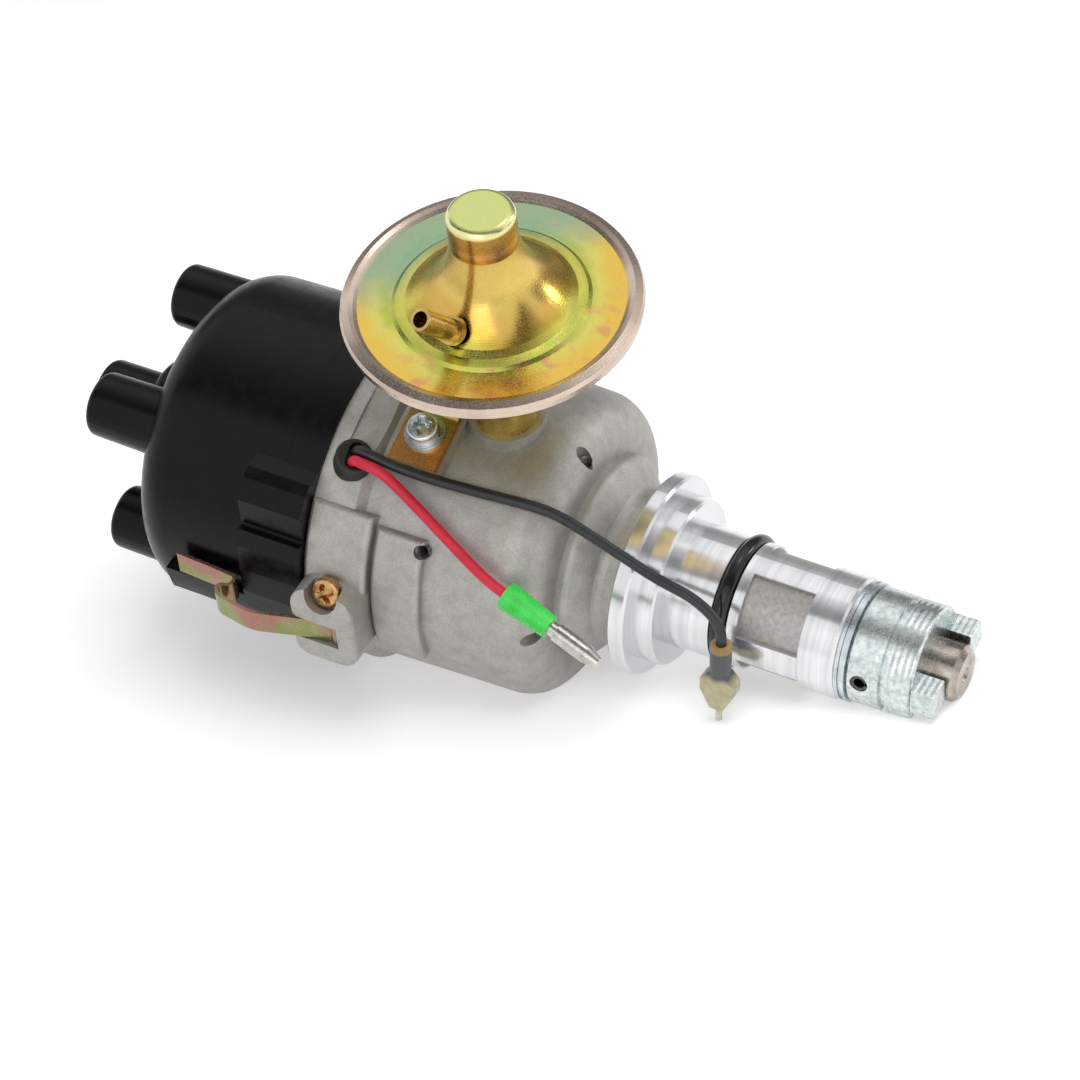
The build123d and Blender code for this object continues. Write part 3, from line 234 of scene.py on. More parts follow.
def mapped(tree, place, **settings):
    """A place after it is stretched, turned and moved by the settings that are given."""
    mapping = tree.nodes.new("ShaderNodeMapping")
    for socket, numbers in settings.items():
        mapping.inputs[socket].default_value = numbers
    tree.links.new(place, mapping.inputs["Vector"])
    return mapping.outputs[0]


def split(tree, place):
    """The X, Y and Z of a place, as outputs of those names."""
    parts = tree.nodes.new("ShaderNodeSeparateXYZ")
    tree.links.new(place, parts.inputs[0])
    return parts.outputs


def from_line(tree, first, second):
    """Distance from a line, as the root of the sum of the squares of two coordinates."""
    squares = [sums(tree, "MULTIPLY", number, number) for number in (first, second)]
    return sums(tree, "SQRT", sums(tree, "ADD", *squares), 0.0)


def mixed(tree, share, first, second):
    """Colour that goes from the first to the second with a share from 0 to 1."""
    mix = tree.nodes.new("ShaderNodeMix")
    mix.data_type = "RGBA"
    tree.links.new(share, mix.inputs["Factor"])
    colour_sockets = [socket for socket in mix.inputs if socket.type == "RGBA"]
    for socket, colour in zip(colour_sockets, (first, second)):
        if isinstance(colour, tuple):
            socket.default_value = colour
        else:
            tree.links.new(colour, socket)
    return [socket for socket in mix.outputs if socket.type == "RGBA"][0]


def relief(tree, height, depth):
    """Raises the surface by a height from 0 to 1 times a depth in metres."""
    bump = tree.nodes.new("ShaderNodeBump")
    bump.inputs["Strength"].default_value = 1.0
    bump.inputs["Distance"].default_value = depth
    tree.links.new(height, bump.inputs["Height"])
    tree.links.new(bump.outputs["Normal"], tree.nodes["Principled BSDF"].inputs["Normal"])


def finish(name, light, dark, patch, gloss, metallic=0.0, grain=0.0, grain_size=0.0004, specular=0.5):
    """Material whose colour drifts between two shades in patches of a size. Its roughness runs
    between the two numbers of gloss with a fine grain, which also stands up by its own depth."""
    material = bpy.data.materials.new(name)
    material.use_nodes = True
    tree = material.node_tree
    shader = tree.nodes["Principled BSDF"].inputs
    shader["Metallic"].default_value = metallic
    shader["Specular IOR Level"].default_value = specular
    place = tree.nodes.new("ShaderNodeTexCoord").outputs["Object"]
    drift = ranged(tree, speckle(tree, place, patch), 0.0, 1.0)
    tree.links.new(mixed(tree, drift, light, dark), shader["Base Color"])
    fine = speckle(tree, place, grain_size)
    tree.links.new(ranged(tree, fine, *gloss), shader["Roughness"])
    if grain:
        relief(tree, fine, grain)
    return material, tree, shader, place


def dress(material, *names):
    """Puts a material on every slot of the named nodes."""
    for name in names:
        for holder in nodes[name].material_slots:
            holder.material = material


turned_from = -0.0088
window_span = (0.0166, 0.0312)
turned_reach = 0.0130
cast_light, cast_dark = shade(190, 188, 183), shade(172, 169, 164)
turned_light, turned_dark = shade(236, 236, 238), shade(212, 213, 216)
window_light, window_dark = shade(184, 182, 179), shade(158, 156, 153)
pit_grey, pit_share = shade(128, 126, 122), 0.35
blotch_size, grit_size, window_grit_size = 0.0035, 0.00042, 0.0009
blasted_depth, tool_depth_share = 0.00006, 0.02
tool_scale, streak_stretch = 520.0, (700.0, 25.0, 25.0)
rough_cast_gloss, turned_gloss = 0.54, 0.20
casting, tree, shader, place = finish(
    "blasted_casting", cast_light, cast_dark, 0.012, (0.48, 0.62), 0.85)
parts = split(tree, place)
window = sums(tree, "LESS_THAN", from_line(tree, parts["Y"], parts["Z"]), turned_reach)
window = sums(tree, "MULTIPLY", window, sums(tree, "GREATER_THAN", parts["X"], window_span[0]))
window = sums(tree, "MULTIPLY", window, sums(tree, "LESS_THAN", parts["X"], window_span[1]))
turned = sums(tree, "SUBTRACT", sums(tree, "GREATER_THAN", parts["X"], turned_from), window)
grit = speckle(tree, place, grit_size, 2.0)
blotch = ranged(tree, speckle(tree, place, blotch_size, 4.0), 0.0, 1.0)
blotched = mixed(tree, blotch, cast_light, cast_dark)
blasted = mixed(tree, ranged(tree, grit, 0.0, pit_share), blotched, pit_grey)
window_grit = ranged(tree, speckle(tree, place, window_grit_size, 4.0), 0.0, 1.0)
rough_cast = mixed(tree, window_grit, window_light, window_dark)
rings = waves(tree, place, "RINGS", "X", tool_scale)
bands = waves(tree, place, "BANDS", "X", tool_scale)
tool_marks = sums(tree, "MULTIPLY", sums(tree, "ADD", rings, bands), 0.5)
streaks = speckle(tree, mapped(tree, place, Scale=streak_stretch), 1.0, 3.0)
bright = mixed(tree, ranged(tree, streaks, 0.0, 1.0), turned_light, turned_dark)
rough = mixed(tree, window, blasted, rough_cast)
tree.links.new(mixed(tree, turned, rough, bright), shader["Base Color"])
tree.links.new(ranged(tree, turned, rough_cast_gloss, turned_gloss, 0.0, 1.0), shader["Roughness"])
blasted_height = sums(tree, "MULTIPLY", grit, sums(tree, "SUBTRACT", 1.0, turned))
turned_height = sums(tree, "MULTIPLY", sums(tree, "MULTIPLY", tool_marks, turned), tool_depth_share)
relief(tree, sums(tree, "ADD", blasted_height, turned_height), blasted_depth)
dress(casting, "body_casting")

# Bushes
# Two sintered bronze bushes, pressed into the ends of the shank and soaked in oil.
bronze = finish("sintered_bronze", shade(176, 140, 88), shade(140, 108, 66), 0.002,
                (0.35, 0.55), 1.0, 0.00002)[0]
dress(bronze, "upper_bush", "lower_bush")

# O-ring
# A moulded nitrile ring in the shank's groove, shiny with oil. Grommet and diaphragm are of the
# same rubber, but dry and dull.
nitrile = finish("moulded_rubber", shade(30, 30, 31), shade(18, 18, 19), 0.004,
                 (0.42, 0.6), 0.0, 0.00001)[0]
dress(nitrile, "grommet", "diaphragm")
oiled = finish("oiled_rubber", shade(14, 14, 16), shade(8, 8, 9), 0.004,
               (0.16, 0.26), 0.0, 0.000004)[0]
dress(oiled, "o_ring")

# Shaft
# Ground bar steel. Its bare tip has gone brown, and it has fine grinding marks round it.
grinding_stretch, grinding_depth = (4000.0, 40.0, 40.0), 0.000004
ground, tree, shader, place = finish(
    "ground_steel", shade(190, 182, 174), shade(142, 130, 120), 0.003, (0.18, 0.34), 1.0)
relief(tree, speckle(tree, mapped(tree, place, Scale=grinding_stretch), 1.0), grinding_depth)
dress(ground, "main_shaft", "cam_sleeve")
pin_steel = finish("blued_pin", shade(104, 102, 98), shade(70, 68, 66), 0.001, (0.25, 0.4), 1.0)[0]
dress(pin_steel, "dog_pin")

# Thrust washers and advance mechanism
# Bright zinc on punched and turned steel: washers, the action plate and its weights, and the
# plates and screws inside the bowl.
bright_zinc = finish("bright_zinc", shade(214, 220, 224), shade(180, 188, 196), 0.003,
                     (0.22, 0.38), 1.0, 0.000008)[0]
dress(bright_zinc, "thrust_washers", "upper_washer", "action_plate", "weight_a", "weight_b",
      "bearing_plate", "plate_screws", "pickup_plate", "module_screws", "vacuum_link")
spring_wire = finish("drawn_wire", shade(150, 150, 152), shade(110, 110, 114), 0.002,
                     (0.25, 0.4), 1.0)[0]
dress(spring_wire, "advance_springs")
wheel_steel = finish("pressed_iron", shade(160, 158, 156), shade(120, 118, 116), 0.003,
                     (0.3, 0.5), 1.0)[0]
dress(wheel_steel, "trigger_wheel")

# Drive dog
# A turned steel coupling under bluish zinc that has dried in spots. Its second half is coarser.
coarse_from, coarse_scale, coarse_depth = 0.0502, 230.0, 0.00013
spot_size, spot_share = 0.0008, 0.10
dog_zinc, tree, shader, place = finish(
    "mottled_zinc", shade(226, 232, 230), shade(176, 186, 186), 0.0013, (0.20, 0.40), 1.0)
on_coarse = sums(tree, "GREATER_THAN", split(tree, place)["X"], coarse_from)
coarse = sums(tree, "MULTIPLY", waves(tree, place, "BANDS", "X", coarse_scale), on_coarse)
spots = sums(tree, "MULTIPLY", speckle(tree, place, spot_size), spot_share)
relief(tree, sums(tree, "ADD", coarse, spots), coarse_depth)
dress(dog_zinc, "drive_dog")

# Pickup and rotor arm
# The pickup is a potted module in dark plastic. The rotor arm is moulded, with a brass contact.
module_dark = finish("module_plastic", shade(46, 46, 50), shade(34, 34, 38), 0.004,
                     (0.4, 0.55), 0.0, 0.00001)[0]
dress(module_dark, "pickup_module")
rotor_red = finish("rotor_moulding", shade(150, 52, 44), shade(122, 40, 36), 0.006,
                   (0.3, 0.45), 0.0, 0.00001)[0]
dress(rotor_red, "rotor_arm")
contact_brass = finish("pressed_brass", shade(222, 188, 112), shade(190, 150, 84), 0.003,
                       (0.2, 0.35), 1.0)[0]
dress(contact_brass, "rotor_contact")

# Distributor cap
# A black thermoset moulding with a satin gloss. Flow lines and dust dull it in broad patches.
moulding = finish("black_moulding", shade(15, 15, 17), shade(8, 8, 10), 0.02, (0.20, 0.34),
                  0.0, 0.000004, 0.003, 0.16)[0]
dress(moulding, "distributor_cap")
post_metal = finish("turned_post", shade(205, 205, 205), shade(170, 170, 172), 0.002,
                    (0.2, 0.35), 1.0)[0]
dress(post_metal, "tower_electrodes", "centre_electrode")
carbon_black = finish("pressed_carbon", shade(46, 46, 46), shade(30, 30, 30), 0.001,
                      (0.45, 0.6), 0.0, 0.00001)[0]
dress(carbon_black, "carbon_brush")

# Spring clips and their screws
# Bent from spring strip and passivated, so they shimmer green and pink over grey. Each foot is
# held in its lug by a brown cross recess screw.
clip_zinc, tree, shader, place = finish(
    "passivated_strip", shade(150, 142, 110), shade(120, 130, 80), 0.006, (0.2, 0.36), 1.0)
greens = ranged(tree, speckle(tree, place, 0.005, 2.0), 0.0, 1.0)
pinks = ranged(tree, speckle(tree, place, 0.011, 2.0), 0.0, 1.0, 0.45, 0.62)
strip_tone = mixed(tree, greens, shade(158, 146, 116), shade(124, 140, 76))
tree.links.new(mixed(tree, pinks, strip_tone, shade(160, 116, 106)), shader["Base Color"])
dress(clip_zinc, "front_clip", "rear_clip")
brown_zinc = finish("brown_zinc", shade(214, 172, 120), shade(164, 116, 80), 0.0012,
                    (0.2, 0.36), 1.0, 0.00001)[0]


def facing(clock, station, reach, seat_clock=None):
    """Matrix whose Z looks away from the shaft at a clock angle. Its origin is at a station along
    the shaft and at a reach from it, at the same clock angle or at one of its own."""
    turn = np.radians(clock)
    seat_turn = turn if seat_clock is None else np.radians(seat_clock)
    away = np.array([0.0, -np.sin(turn), np.cos(turn)])
    along = np.array([1.0, 0.0, 0.0])
    place = np.eye(4)
    place[:3, 0], place[:3, 1], place[:3, 2] = along, np.cross(away, along), away
    place[:3, 3] = (station, -reach * np.sin(seat_turn), reach * np.cos(seat_turn))
    return place


def revolved(radii, heights, place, around, sink):
    """Closed surface with a point of its profile on each ring and its two ends on the axis. The
    point of a ring at angle a is (radius cos a, radius sin a, height), and sink lowers its top."""
    angle = np.linspace(0.0, 2 * np.pi, around, endpoint=False)
    across, up = radii[1:-1, None] * np.cos(angle), radii[1:-1, None] * np.sin(angle)
    level = np.repeat(heights[1:-1, None], around, axis=1)
    level = level - sink(across, up) * (level > heights[0] / 2)
    top = heights[0] - sink(np.zeros(1), np.zeros(1))[0]
    rings = np.stack([across, up, level], axis=2).reshape(-1, 3)
    points = np.concatenate([[[0, 0, top]], rings, [[0, 0, heights[-1]]]])
    points = points @ place[:3, :3].T + place[:3, 3]
    step = np.arange(around)
    after = (step + 1) % around
    rows = 1 + around * np.arange(len(radii) - 3)[:, None]
    walls = np.stack([rows + step, rows + around + step, rows + around + after, rows + after], axis=2)
    last = len(points) - 1
    first_cap = np.stack([np.zeros_like(step), 1 + step, 1 + after], axis=1)
    last_cap = np.stack([np.full_like(step, last), last - around + after, last - around + step], axis=1)
    return points, walls.reshape(-1, 4).tolist() + first_cap.tolist() + last_cap.tolist()


def fitted(name, surfaces, node, material):
    """One mesh object of several surfaces, which rides on the housing in place of a node."""
    points, faces, base = [], [], 0
    for spots, sides in surfaces:
        points.append(spots)
        faces += [[base + corner for corner in side] for side in sides]
        base += len(spots)
    mesh = bpy.data.meshes.new(name)
    mesh.from_pydata(np.concatenate(points).tolist(), [], faces)
    mesh.validate()
    mesh.materials.append(material)
    mesh.shade_smooth()
    mesh.set_sharp_from_angle(angle=np.radians(35))
    piece = bpy.data.objects.new(name, mesh)
    scene.collection.objects.link(piece)
    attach(piece, "housing")
    if node:
        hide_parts(node)
    return piece


def cross_recess(half_width, reach, depth, turn):
    """Depth of a cross recess at a point: it falls from nothing at the cross's edge to its full
    depth over a third of the half width, and is shallower towards the ends of its arms."""
    def sink(across, up):
        one = across * np.cos(turn) + up * np.sin(turn)
        two = up * np.cos(turn) - across * np.sin(turn)
        narrow, wide = np.minimum(abs(one), abs(two)), np.maximum(abs(one), abs(two))
        edge = np.clip((half_width - narrow) / (half_width / 3), 0, 1)
        end = np.clip((reach - wide) / (reach / 2.2), 0, 1)
        return depth * edge * end
    return sink


def pan_screw(place, head, rise, stem, length, turn):
    """Screw with a domed pan head: the dome falls with the square of the radius, its shoulder is
    a quarter circle, and its stem runs down from under the head."""
    crown = np.linspace(0.0, 0.8 * head, 26)
    shoulder = np.linspace(0.15, 0.5 * np.pi, 6)
    radii = np.concatenate([crown, 0.8 * head + 0.2 * head * np.sin(shoulder), [head, stem, stem, 0.0]])
    heights = np.concatenate([
        rise * (1 - 0.12 * (crown / (0.8 * head)) ** 2),
        rise * (0.55 + 0.33 * np.cos(shoulder)), [0.0, 0.0, -length, -length],
    ])
    sink = cross_recess(0.22 * head, 0.66 * head, 0.62 * rise, turn)
    return revolved(radii, heights, place, 96, sink)


clip_screw_station, clip_screw_reach = -0.0649, 0.0388
clip_screw_lean, clip_screw_clock = 74.0, 88.0
clip_screw_head, clip_screw_rise, clip_screw_stem, clip_screw_length = 0.0033, 0.0022, 0.0019, 0.0060
clip_screw_surfaces = []
for side, turn in ((0.0, 0.5), (180.0, 0.9)):
    seat = facing(clip_screw_lean - side, clip_screw_station, clip_screw_reach, clip_screw_clock - side)
    clip_screw_surfaces.append(
        pan_screw(seat, clip_screw_head, clip_screw_rise, clip_screw_stem, clip_screw_length, turn))
fitted("clip_pan_screws", clip_screw_surfaces, "clip_screws", brown_zinc)

# Vacuum capsule
# Two spun steel shells, curled together at the rim, under thick yellow zinc that shimmers from
# gold through green to pink. The curl itself is thinner coated and greyer.
capsule_station, capsule_clock = -0.0397, 10.5
film_growth, cloud_share, film_range = 42.0, 0.55, (0.55, 1.35)
dish_edge = (0.0165, 0.0205)
cool_tone, cool_share, cool_drift, cool_span = shade(136, 170, 148), 0.85, 0.020, (0.012, 0.034)
blush_tone, blush_share, blush_clouds = shade(214, 150, 112), 0.7, (0.50, 0.66)
blush_span = (-0.022, -0.004)
# Heights of the boss's foot, of its rounded shoulder, which carries a painted highlight, and of its top
# face
boss_foot, boss_shoulder_highlight, boss_top = (0.0862, 0.0872), (0.0932, 0.0940), (0.0947, 0.09495)
boss_line_height, boss_line_edge = 0.0888, (0.0004, 0.0011)
rim_edge, rim_light, rim_dark = (0.0272, 0.0280), shade(222, 204, 188), shade(192, 172, 158)
spun_scale, spun_wander, spun_depth = 700.0, 2.0, 0.000003
# Place along the film's growth and the colour there
bands_of_film = (
    (0.00, shade(206, 176, 96)), (0.16, shade(222, 192, 104)), (0.30, shade(212, 172, 90)),
    (0.44, shade(196, 168, 70)), (0.58, shade(208, 200, 96)), (0.70, shade(178, 186, 84)),
    (0.84, shade(214, 206, 104)), (1.00, shade(226, 190, 88)),
)
cover_zinc, tree, shader, place = finish(
    "yellow_zinc", shade(214, 200, 96), shade(150, 165, 70), 0.01, (0.16, 0.3), 1.0)
upright = mapped(tree, place, Location=(-capsule_station, 0.0, 0.0),
                 Rotation=(-np.radians(capsule_clock), 0.0, 0.0))
parts = split(tree, upright)
height = parts["Z"]
from_centre = from_line(tree, parts["X"], parts["Y"])
clouds = speckle(tree, place, 0.012, 3.0)
drifts = speckle(tree, place, 0.005, 3.0)
film = sums(tree, "ADD", sums(tree, "MULTIPLY", from_centre, film_growth),
            sums(tree, "MULTIPLY", clouds, cloud_share))
ramp = tree.nodes.new("ShaderNodeValToRGB")
stops = ramp.color_ramp.elements
stops[0].position, stops[0].color = bands_of_film[0]
stops[1].position, stops[1].color = bands_of_film[-1]
for position, colour in bands_of_film[1:-1]:
    stops.new(position).color = colour
tree.links.new(ranged(tree, film, 0.0, 1.0, *film_range), ramp.inputs["Fac"])
on_dish = ranged(tree, from_centre, 0.0, 1.0, *dish_edge, True)
backward = sums(tree, "SUBTRACT", parts["Y"], parts["X"])
drifted = sums(tree, "ADD", backward, sums(tree, "MULTIPLY", clouds, cool_drift))
cool = ranged(tree, drifted, 0.0, cool_share, *cool_span, True)
film_colour = mixed(tree, sums(tree, "MULTIPLY", cool, on_dish), ramp.outputs["Color"], cool_tone)
blush = sums(tree, "MULTIPLY", ranged(tree, drifts, 0.0, blush_share, *blush_clouds, True),
             ranged(tree, backward, 1.0, 0.0, *blush_span, True))
film_colour = mixed(tree, sums(tree, "MULTIPLY", blush, on_dish), film_colour, blush_tone)
from_boss_line = sums(tree, "ABSOLUTE", sums(tree, "SUBTRACT", height, boss_line_height), 0.0)
boss_line = ranged(tree, from_boss_line, 1.0, 0.0, *boss_line_edge)
boss_tone = mixed(tree, boss_line, shade(190, 152, 84), shade(214, 170, 138))
# The pale tone on the rounded shoulder is a painted highlight. The top face above it takes its own tone.
for edge, tone in ((boss_shoulder_highlight, shade(236, 232, 168)), (boss_top, shade(206, 212, 134))):
    boss_tone = mixed(tree, ranged(tree, height, 0.0, 1.0, *edge), boss_tone, tone)
film_colour = mixed(tree, ranged(tree, height, 0.0, 1.0, *boss_foot), film_colour, boss_tone)
rim_tone = mixed(tree, ranged(tree, clouds, 0.0, 1.0), rim_light, rim_dark)
on_rim = ranged(tree, from_centre, 0.0, 1.0, *rim_edge)
tree.links.new(mixed(tree, on_rim, film_colour, rim_tone), shader["Base Color"])
relief(tree, waves(tree, upright, "RINGS", "Z", spun_scale, spun_wander), spun_depth)
dress(cover_zinc, "capsule_cover", "capsule_pan")
pipe_zinc = finish("pipe_zinc", shade(214, 184, 116), shade(178, 146, 92), 0.003,
                   (0.16, 0.3), 1.0)[0]
dress(pipe_zinc, "vacuum_nipple")

# Bracket
# Pressed from strip and plated like the capsule. Its colour runs from brown gold at the toes of
# its feet to green at the heels.
toe_to_heel, foot_wander = (0.0335, 0.0385), 0.003
bracket_zinc, tree, shader, place = finish(
    "bracket_zinc", shade(196, 140, 70), shade(150, 150, 50), 0.006, (0.2, 0.34), 1.0, 0.000006)
wander = sums(tree, "MULTIPLY", speckle(tree, place, 0.004), foot_wander)
foot_rise = sums(tree, "ADD", split(tree, place)["Z"], wander)
foot_tone = mixed(tree, ranged(tree, foot_rise, 0.0, 1.0, *toe_to_heel),
                  shade(206, 150, 88), shade(158, 164, 84))
tree.links.new(foot_tone, shader["Base Color"])
dress(bracket_zinc, "capsule_bracket")

# Bracket screws and washers
# Two zinc pan head screws with cross recesses hold the feet. Each stands on a split spring washer
# over a flat one.
foot_station, foot_spread = -0.0531, 17.5
foot_screw_reach, foot_screw_turn = 0.0384, 0.35
foot_screw_head, foot_screw_rise, foot_screw_stem, foot_screw_length = 0.0034, 0.0026, 0.0022, 0.0080
washer_reach, washer_bore = 0.0372, 0.00225
flat_radius, flat_low, flat_high = 0.0044, 0.0, 0.00055
split_radius, split_low, split_high = 0.0039, 0.00060, 0.00118
flat_gap, split_gap, split_climb = 0.002, 0.16, 0.0001


def carried(sections, place):
    """Closed surface of a section carried along a path: sections[i] has its points at step i.
    Each point is joined to the next round its section and to its own place in the next step."""
    steps, around = sections.shape[:2]
    points = sections.reshape(-1, 3) @ place[:3, :3].T + place[:3, 3]
    row = around * np.arange(steps - 1)[:, None]
    corner = np.arange(around)
    after = (corner + 1) % around
    sides = np.stack([row + corner, row + around + corner, row + around + after, row + after], axis=2)
    last = around * (steps - 1)
    return points, sides.reshape(-1, 4).tolist() + [corner.tolist(), (last + corner[::-1]).tolist()]


def ring_sweep(place, inner, outer, low, high, gap, climb, around):
    """Square section carried round an axis, open over a gap in radians. It climbs steadily from
    one end to the other, and its two ends are closed."""
    angle = np.linspace(gap / 2, 2 * np.pi - gap / 2, around)
    lift = climb * (angle / (2 * np.pi) - 0.5)
    section = ((inner, low), (outer, low), (outer, high), (inner, high))
    return carried(np.stack([
        np.stack([radius * np.cos(angle), radius * np.sin(angle), level + lift], axis=1)
        for radius, level in section
    ], axis=1), place)


foot_screw_surfaces, washer_surfaces = [], []
for side in (foot_spread, -foot_spread):
    foot_clock = capsule_clock + side
    foot_screw_surfaces.append(
        pan_screw(facing(foot_clock, foot_station, foot_screw_reach), foot_screw_head, foot_screw_rise,
                  foot_screw_stem, foot_screw_length, foot_screw_turn))
    seat = facing(foot_clock, foot_station, washer_reach)
    washer_surfaces.append(
        ring_sweep(seat, washer_bore, flat_radius, flat_low, flat_high, flat_gap, 0.0, 96))
    washer_surfaces.append(
        ring_sweep(seat, washer_bore, split_radius, split_low, split_high, split_gap, split_climb, 72))
fitted("bracket_pan_screws", foot_screw_surfaces, "bracket_screws", bright_zinc)
fitted("bracket_washer_stacks", washer_surfaces, "bracket_washers", bright_zinc)

# Tapped holes
# Threads cut in the bowl's tapped holes. Each is a thin coil of ridges just inside its wall.
thread_shade = finish("cut_thread", shade(150, 149, 147), shade(96, 95, 93), 0.0006,
                      (0.3, 0.45), 0.9)[0]
thread_wall, thread_crest, thread_pitch = 0.00159, 0.00136, 0.0007
# Station, clock angle and reach of each thread's outer end, and its turns
tapped_holes = ((-0.0460, 66.0, 0.0357, 6), (-0.0224, 10.0, 0.0284, 4))


def thread_coil(place, wall, ridge, pitch, turns):
    """Ridge carried round an axis: every turn of it sinks by one pitch, and its section goes from
    the wall in to the crest and back to the wall, where it is closed."""
    angle = np.linspace(0.0, 2 * np.pi * turns, 28 * turns + 1)
    fall = -pitch * angle / (2 * np.pi)
    return carried(np.stack([
        np.stack([radius * np.cos(angle), radius * np.sin(angle), fall - part * pitch], axis=1)
        for radius, part in ((wall, 0.02), (ridge, 0.45), (ridge, 0.55), (wall, 0.98))
    ], axis=1), place)


threads = [
    thread_coil(facing(clock, station, reach), thread_wall, thread_crest, thread_pitch, turns)
    for station, clock, reach, turns in tapped_holes
]
fitted("hole_threads", threads, None, thread_shade)


# Coil springs
# Wound from hard drawn wire: one pushes the diaphragm back inside the capsule's boss, the other
# pushes the carbon brush on to the rotor arm.
def coil(place, radius, wire, length, turns):
    """Round wire wound about an axis: its centre goes round at one radius and rises with a ramp
    that is level over the end turns. The wire's section lies in the plane of the axis."""
    along = np.linspace(0.0, 1.0, 40 * turns + 1)
    angle = 2 * np.pi * turns * along
    share = np.clip((along - 0.75 / turns) / (1 - 1.5 / turns), 0, 1)
    rise = wire + (length - 2 * wire) * share
    section = np.linspace(0.0, 2 * np.pi, 10, endpoint=False)
    reach = radius + wire * np.cos(section)[None, :]
    level = rise[:, None] + wire * np.sin(section)[None, :]
    return carried(np.stack(
        [reach * np.cos(angle)[:, None], reach * np.sin(angle)[:, None], level], axis=2), place)


spring_play = 0.00005
capsule_spring_from, capsule_spring_to, capsule_travel = 0.0703, 0.0943, 0.00262
capsule_coil_radius, capsule_wire, capsule_turns = 0.0048, 0.00055, 6
capsule_foot = facing(capsule_clock, capsule_station, capsule_spring_from + spring_play)
capsule_spring_length = capsule_spring_to - capsule_spring_from - 2 * spring_play
capsule_coil = fitted(
    "capsule_coil_spring",
    [coil(capsule_foot, capsule_coil_radius, capsule_wire, capsule_spring_length, capsule_turns)],
    "vacuum_spring", spring_wire,
)
tuple(facing(capsule_clock, capsule_station, capsule_spring_to)[:3, 3])
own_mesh(capsule_coil)
brush_spring_from, brush_spring_to, brush_stroke = -0.099, -0.093, 0.003
brush_coil_radius, brush_wire, brush_turns = 0.00195, 0.00025, 5
brush_foot = np.eye(4)
brush_foot[:3, :3] = ((0.0, 0.0, 1.0), (1.0, 0.0, 0.0), (0.0, 1.0, 0.0))
brush_foot[:3, 3] = (brush_spring_from + spring_play, 0.0, 0.0)
brush_spring_length = brush_spring_to - brush_spring_from - 2 * spring_play
brush_coil = fitted(
    "brush_coil_spring",
    [coil(brush_foot, brush_coil_radius, brush_wire, brush_spring_length, brush_turns)],
    "brush_spring", spring_wire,
)
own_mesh(brush_coil)


# Leads
# Two stranded leads with soft insulation leave the grommet: a red one to a bullet under a green
# sleeve, and a dark one over the neck to a small pin terminal under a cream sleeve.
def lead(name, points, thickness, material):
    """Round cord along one smooth curve whose control points are those given."""
    curve = bpy.data.curves.new(name, "CURVE")
    curve.dimensions = "3D"
    curve.bevel_depth = thickness
    curve.bevel_resolution = 6
    curve.resolution_u = 16
    curve.use_fill_caps = True
    route = curve.splines.new("NURBS")
    route.points.add(len(points) - 1)
    route.points.foreach_set("co", np.column_stack([points, np.ones(len(points))]).ravel())
    route.order_u = 3
    route.use_endpoint_u = True
    curve.materials.append(material)
    cord = bpy.data.objects.new(name, curve)
    scene.collection.objects.link(cord)
    return cord


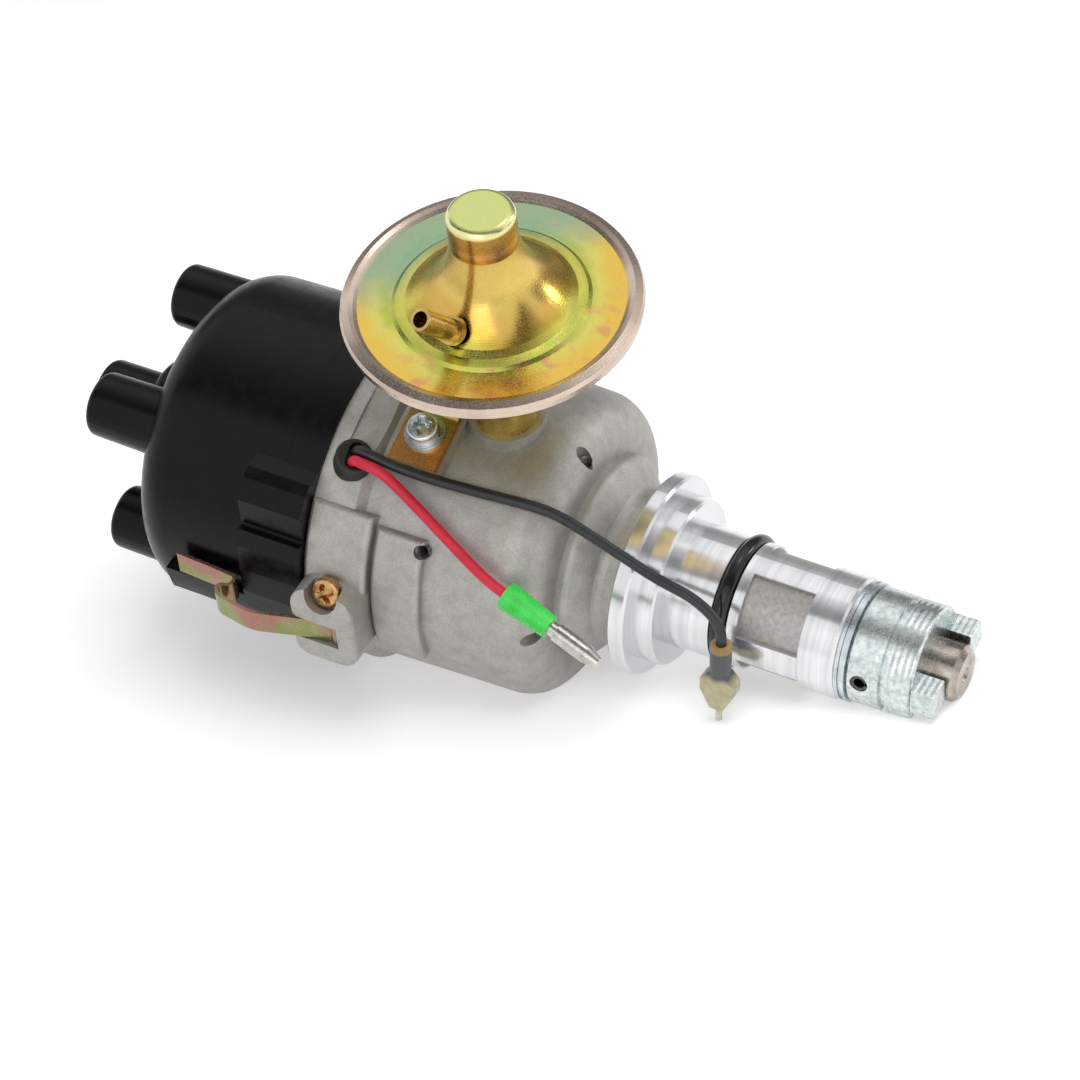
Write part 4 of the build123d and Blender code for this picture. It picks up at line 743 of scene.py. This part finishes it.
lead_radius = 0.00115
red_points = np.array([
    (-0.06527, -0.02717, 0.02688), (-0.06431, -0.02833, 0.02935), (-0.06190, -0.02898, 0.02970),
    (-0.05720, -0.02854, 0.02874), (-0.05050, -0.02919, 0.02449), (-0.04200, -0.03097, 0.01988),
    (-0.03500, -0.03276, 0.01655), (-0.02907, -0.03445, 0.01435), (-0.02490, -0.03500, 0.01310),
])
black_points = np.array([
    (-0.06552, -0.02495, 0.02802), (-0.06462, -0.02604, 0.03032), (-0.06200, -0.02670, 0.03072),
    (-0.05720, -0.02599, 0.02907), (-0.04850, -0.02498, 0.02784), (-0.03800, -0.02352, 0.02725),
    (-0.02900, -0.02256, 0.02728), (-0.02150, -0.02059, 0.02579), (-0.01400, -0.01904, 0.02174),
    (-0.00660, -0.01708, 0.01672), (0.00150, -0.01808, 0.01485), (0.00860, -0.01860, 0.01400),
    (0.01330, -0.01890, 0.01180), (0.01570, -0.01900, 0.00930), (0.01650, -0.01900, 0.00640),
    (0.01650, -0.01900, 0.00420),
])
red_skin = finish("red_insulation", shade(238, 40, 74), shade(222, 26, 58), 0.006,
                  (0.32, 0.45), 0.0, 0.00001, 0.0006)[0]
dark_skin = finish("dark_insulation", shade(44, 47, 50), shade(32, 34, 37), 0.006,
                   (0.34, 0.48), 0.0, 0.00001, 0.0006)[0]
red_cord = lead("red_cord", red_points, lead_radius, red_skin)
black_cord = lead("black_cord", black_points, lead_radius, dark_skin)
green_sleeve, tree, shader, place = finish(
    "green_sleeve", shade(72, 236, 96), shade(48, 214, 72), 0.003, (0.22, 0.34), 0.0, 0.000006)
shader["Subsurface Weight"].default_value = 0.25
shader["Subsurface Radius"].default_value = (0.001, 0.002, 0.001)
cuff_edge, hood_edge = (0.0026, 0.0032), (-0.0052, -0.0034)
cream_sleeve, tree, shader, place = finish(
    "cream_sleeve", shade(222, 212, 176), shade(198, 188, 146), 0.003, (0.16, 0.28), 0.0, 0.000006)
drop = split(tree, place)["Z"]
hood_drift = ranged(tree, speckle(tree, place, 0.003), 0.0, 1.0)
hood = mixed(tree, hood_drift, shade(224, 214, 178), shade(192, 180, 138))
tube = mixed(tree, ranged(tree, drop, 1.0, 0.0, *cuff_edge), shade(164, 134, 80), shade(84, 90, 90))
tree.links.new(mixed(tree, ranged(tree, drop, 1.0, 0.0, *hood_edge), tube, hood), shader["Base Color"])
nickel = finish("nickel_plate", shade(206, 204, 198), shade(170, 168, 162), 0.002, (0.16, 0.3), 1.0)[0]
dress(green_sleeve, "red_sleeve")
dress(cream_sleeve, "black_sleeve")
dress(nickel, "red_bullet", "black_blade")
for cord, node, slot, tip, points, length in (
    (red_cord, "red_lead", "red_insulation", ["red_sleeve", "red_bullet"], red_points, 0.0466),
    (black_cord, "black_lead", "black_insulation", ["black_sleeve", "black_blade"], black_points, 0.0935),
):
    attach(cord, "housing")
    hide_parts(node)
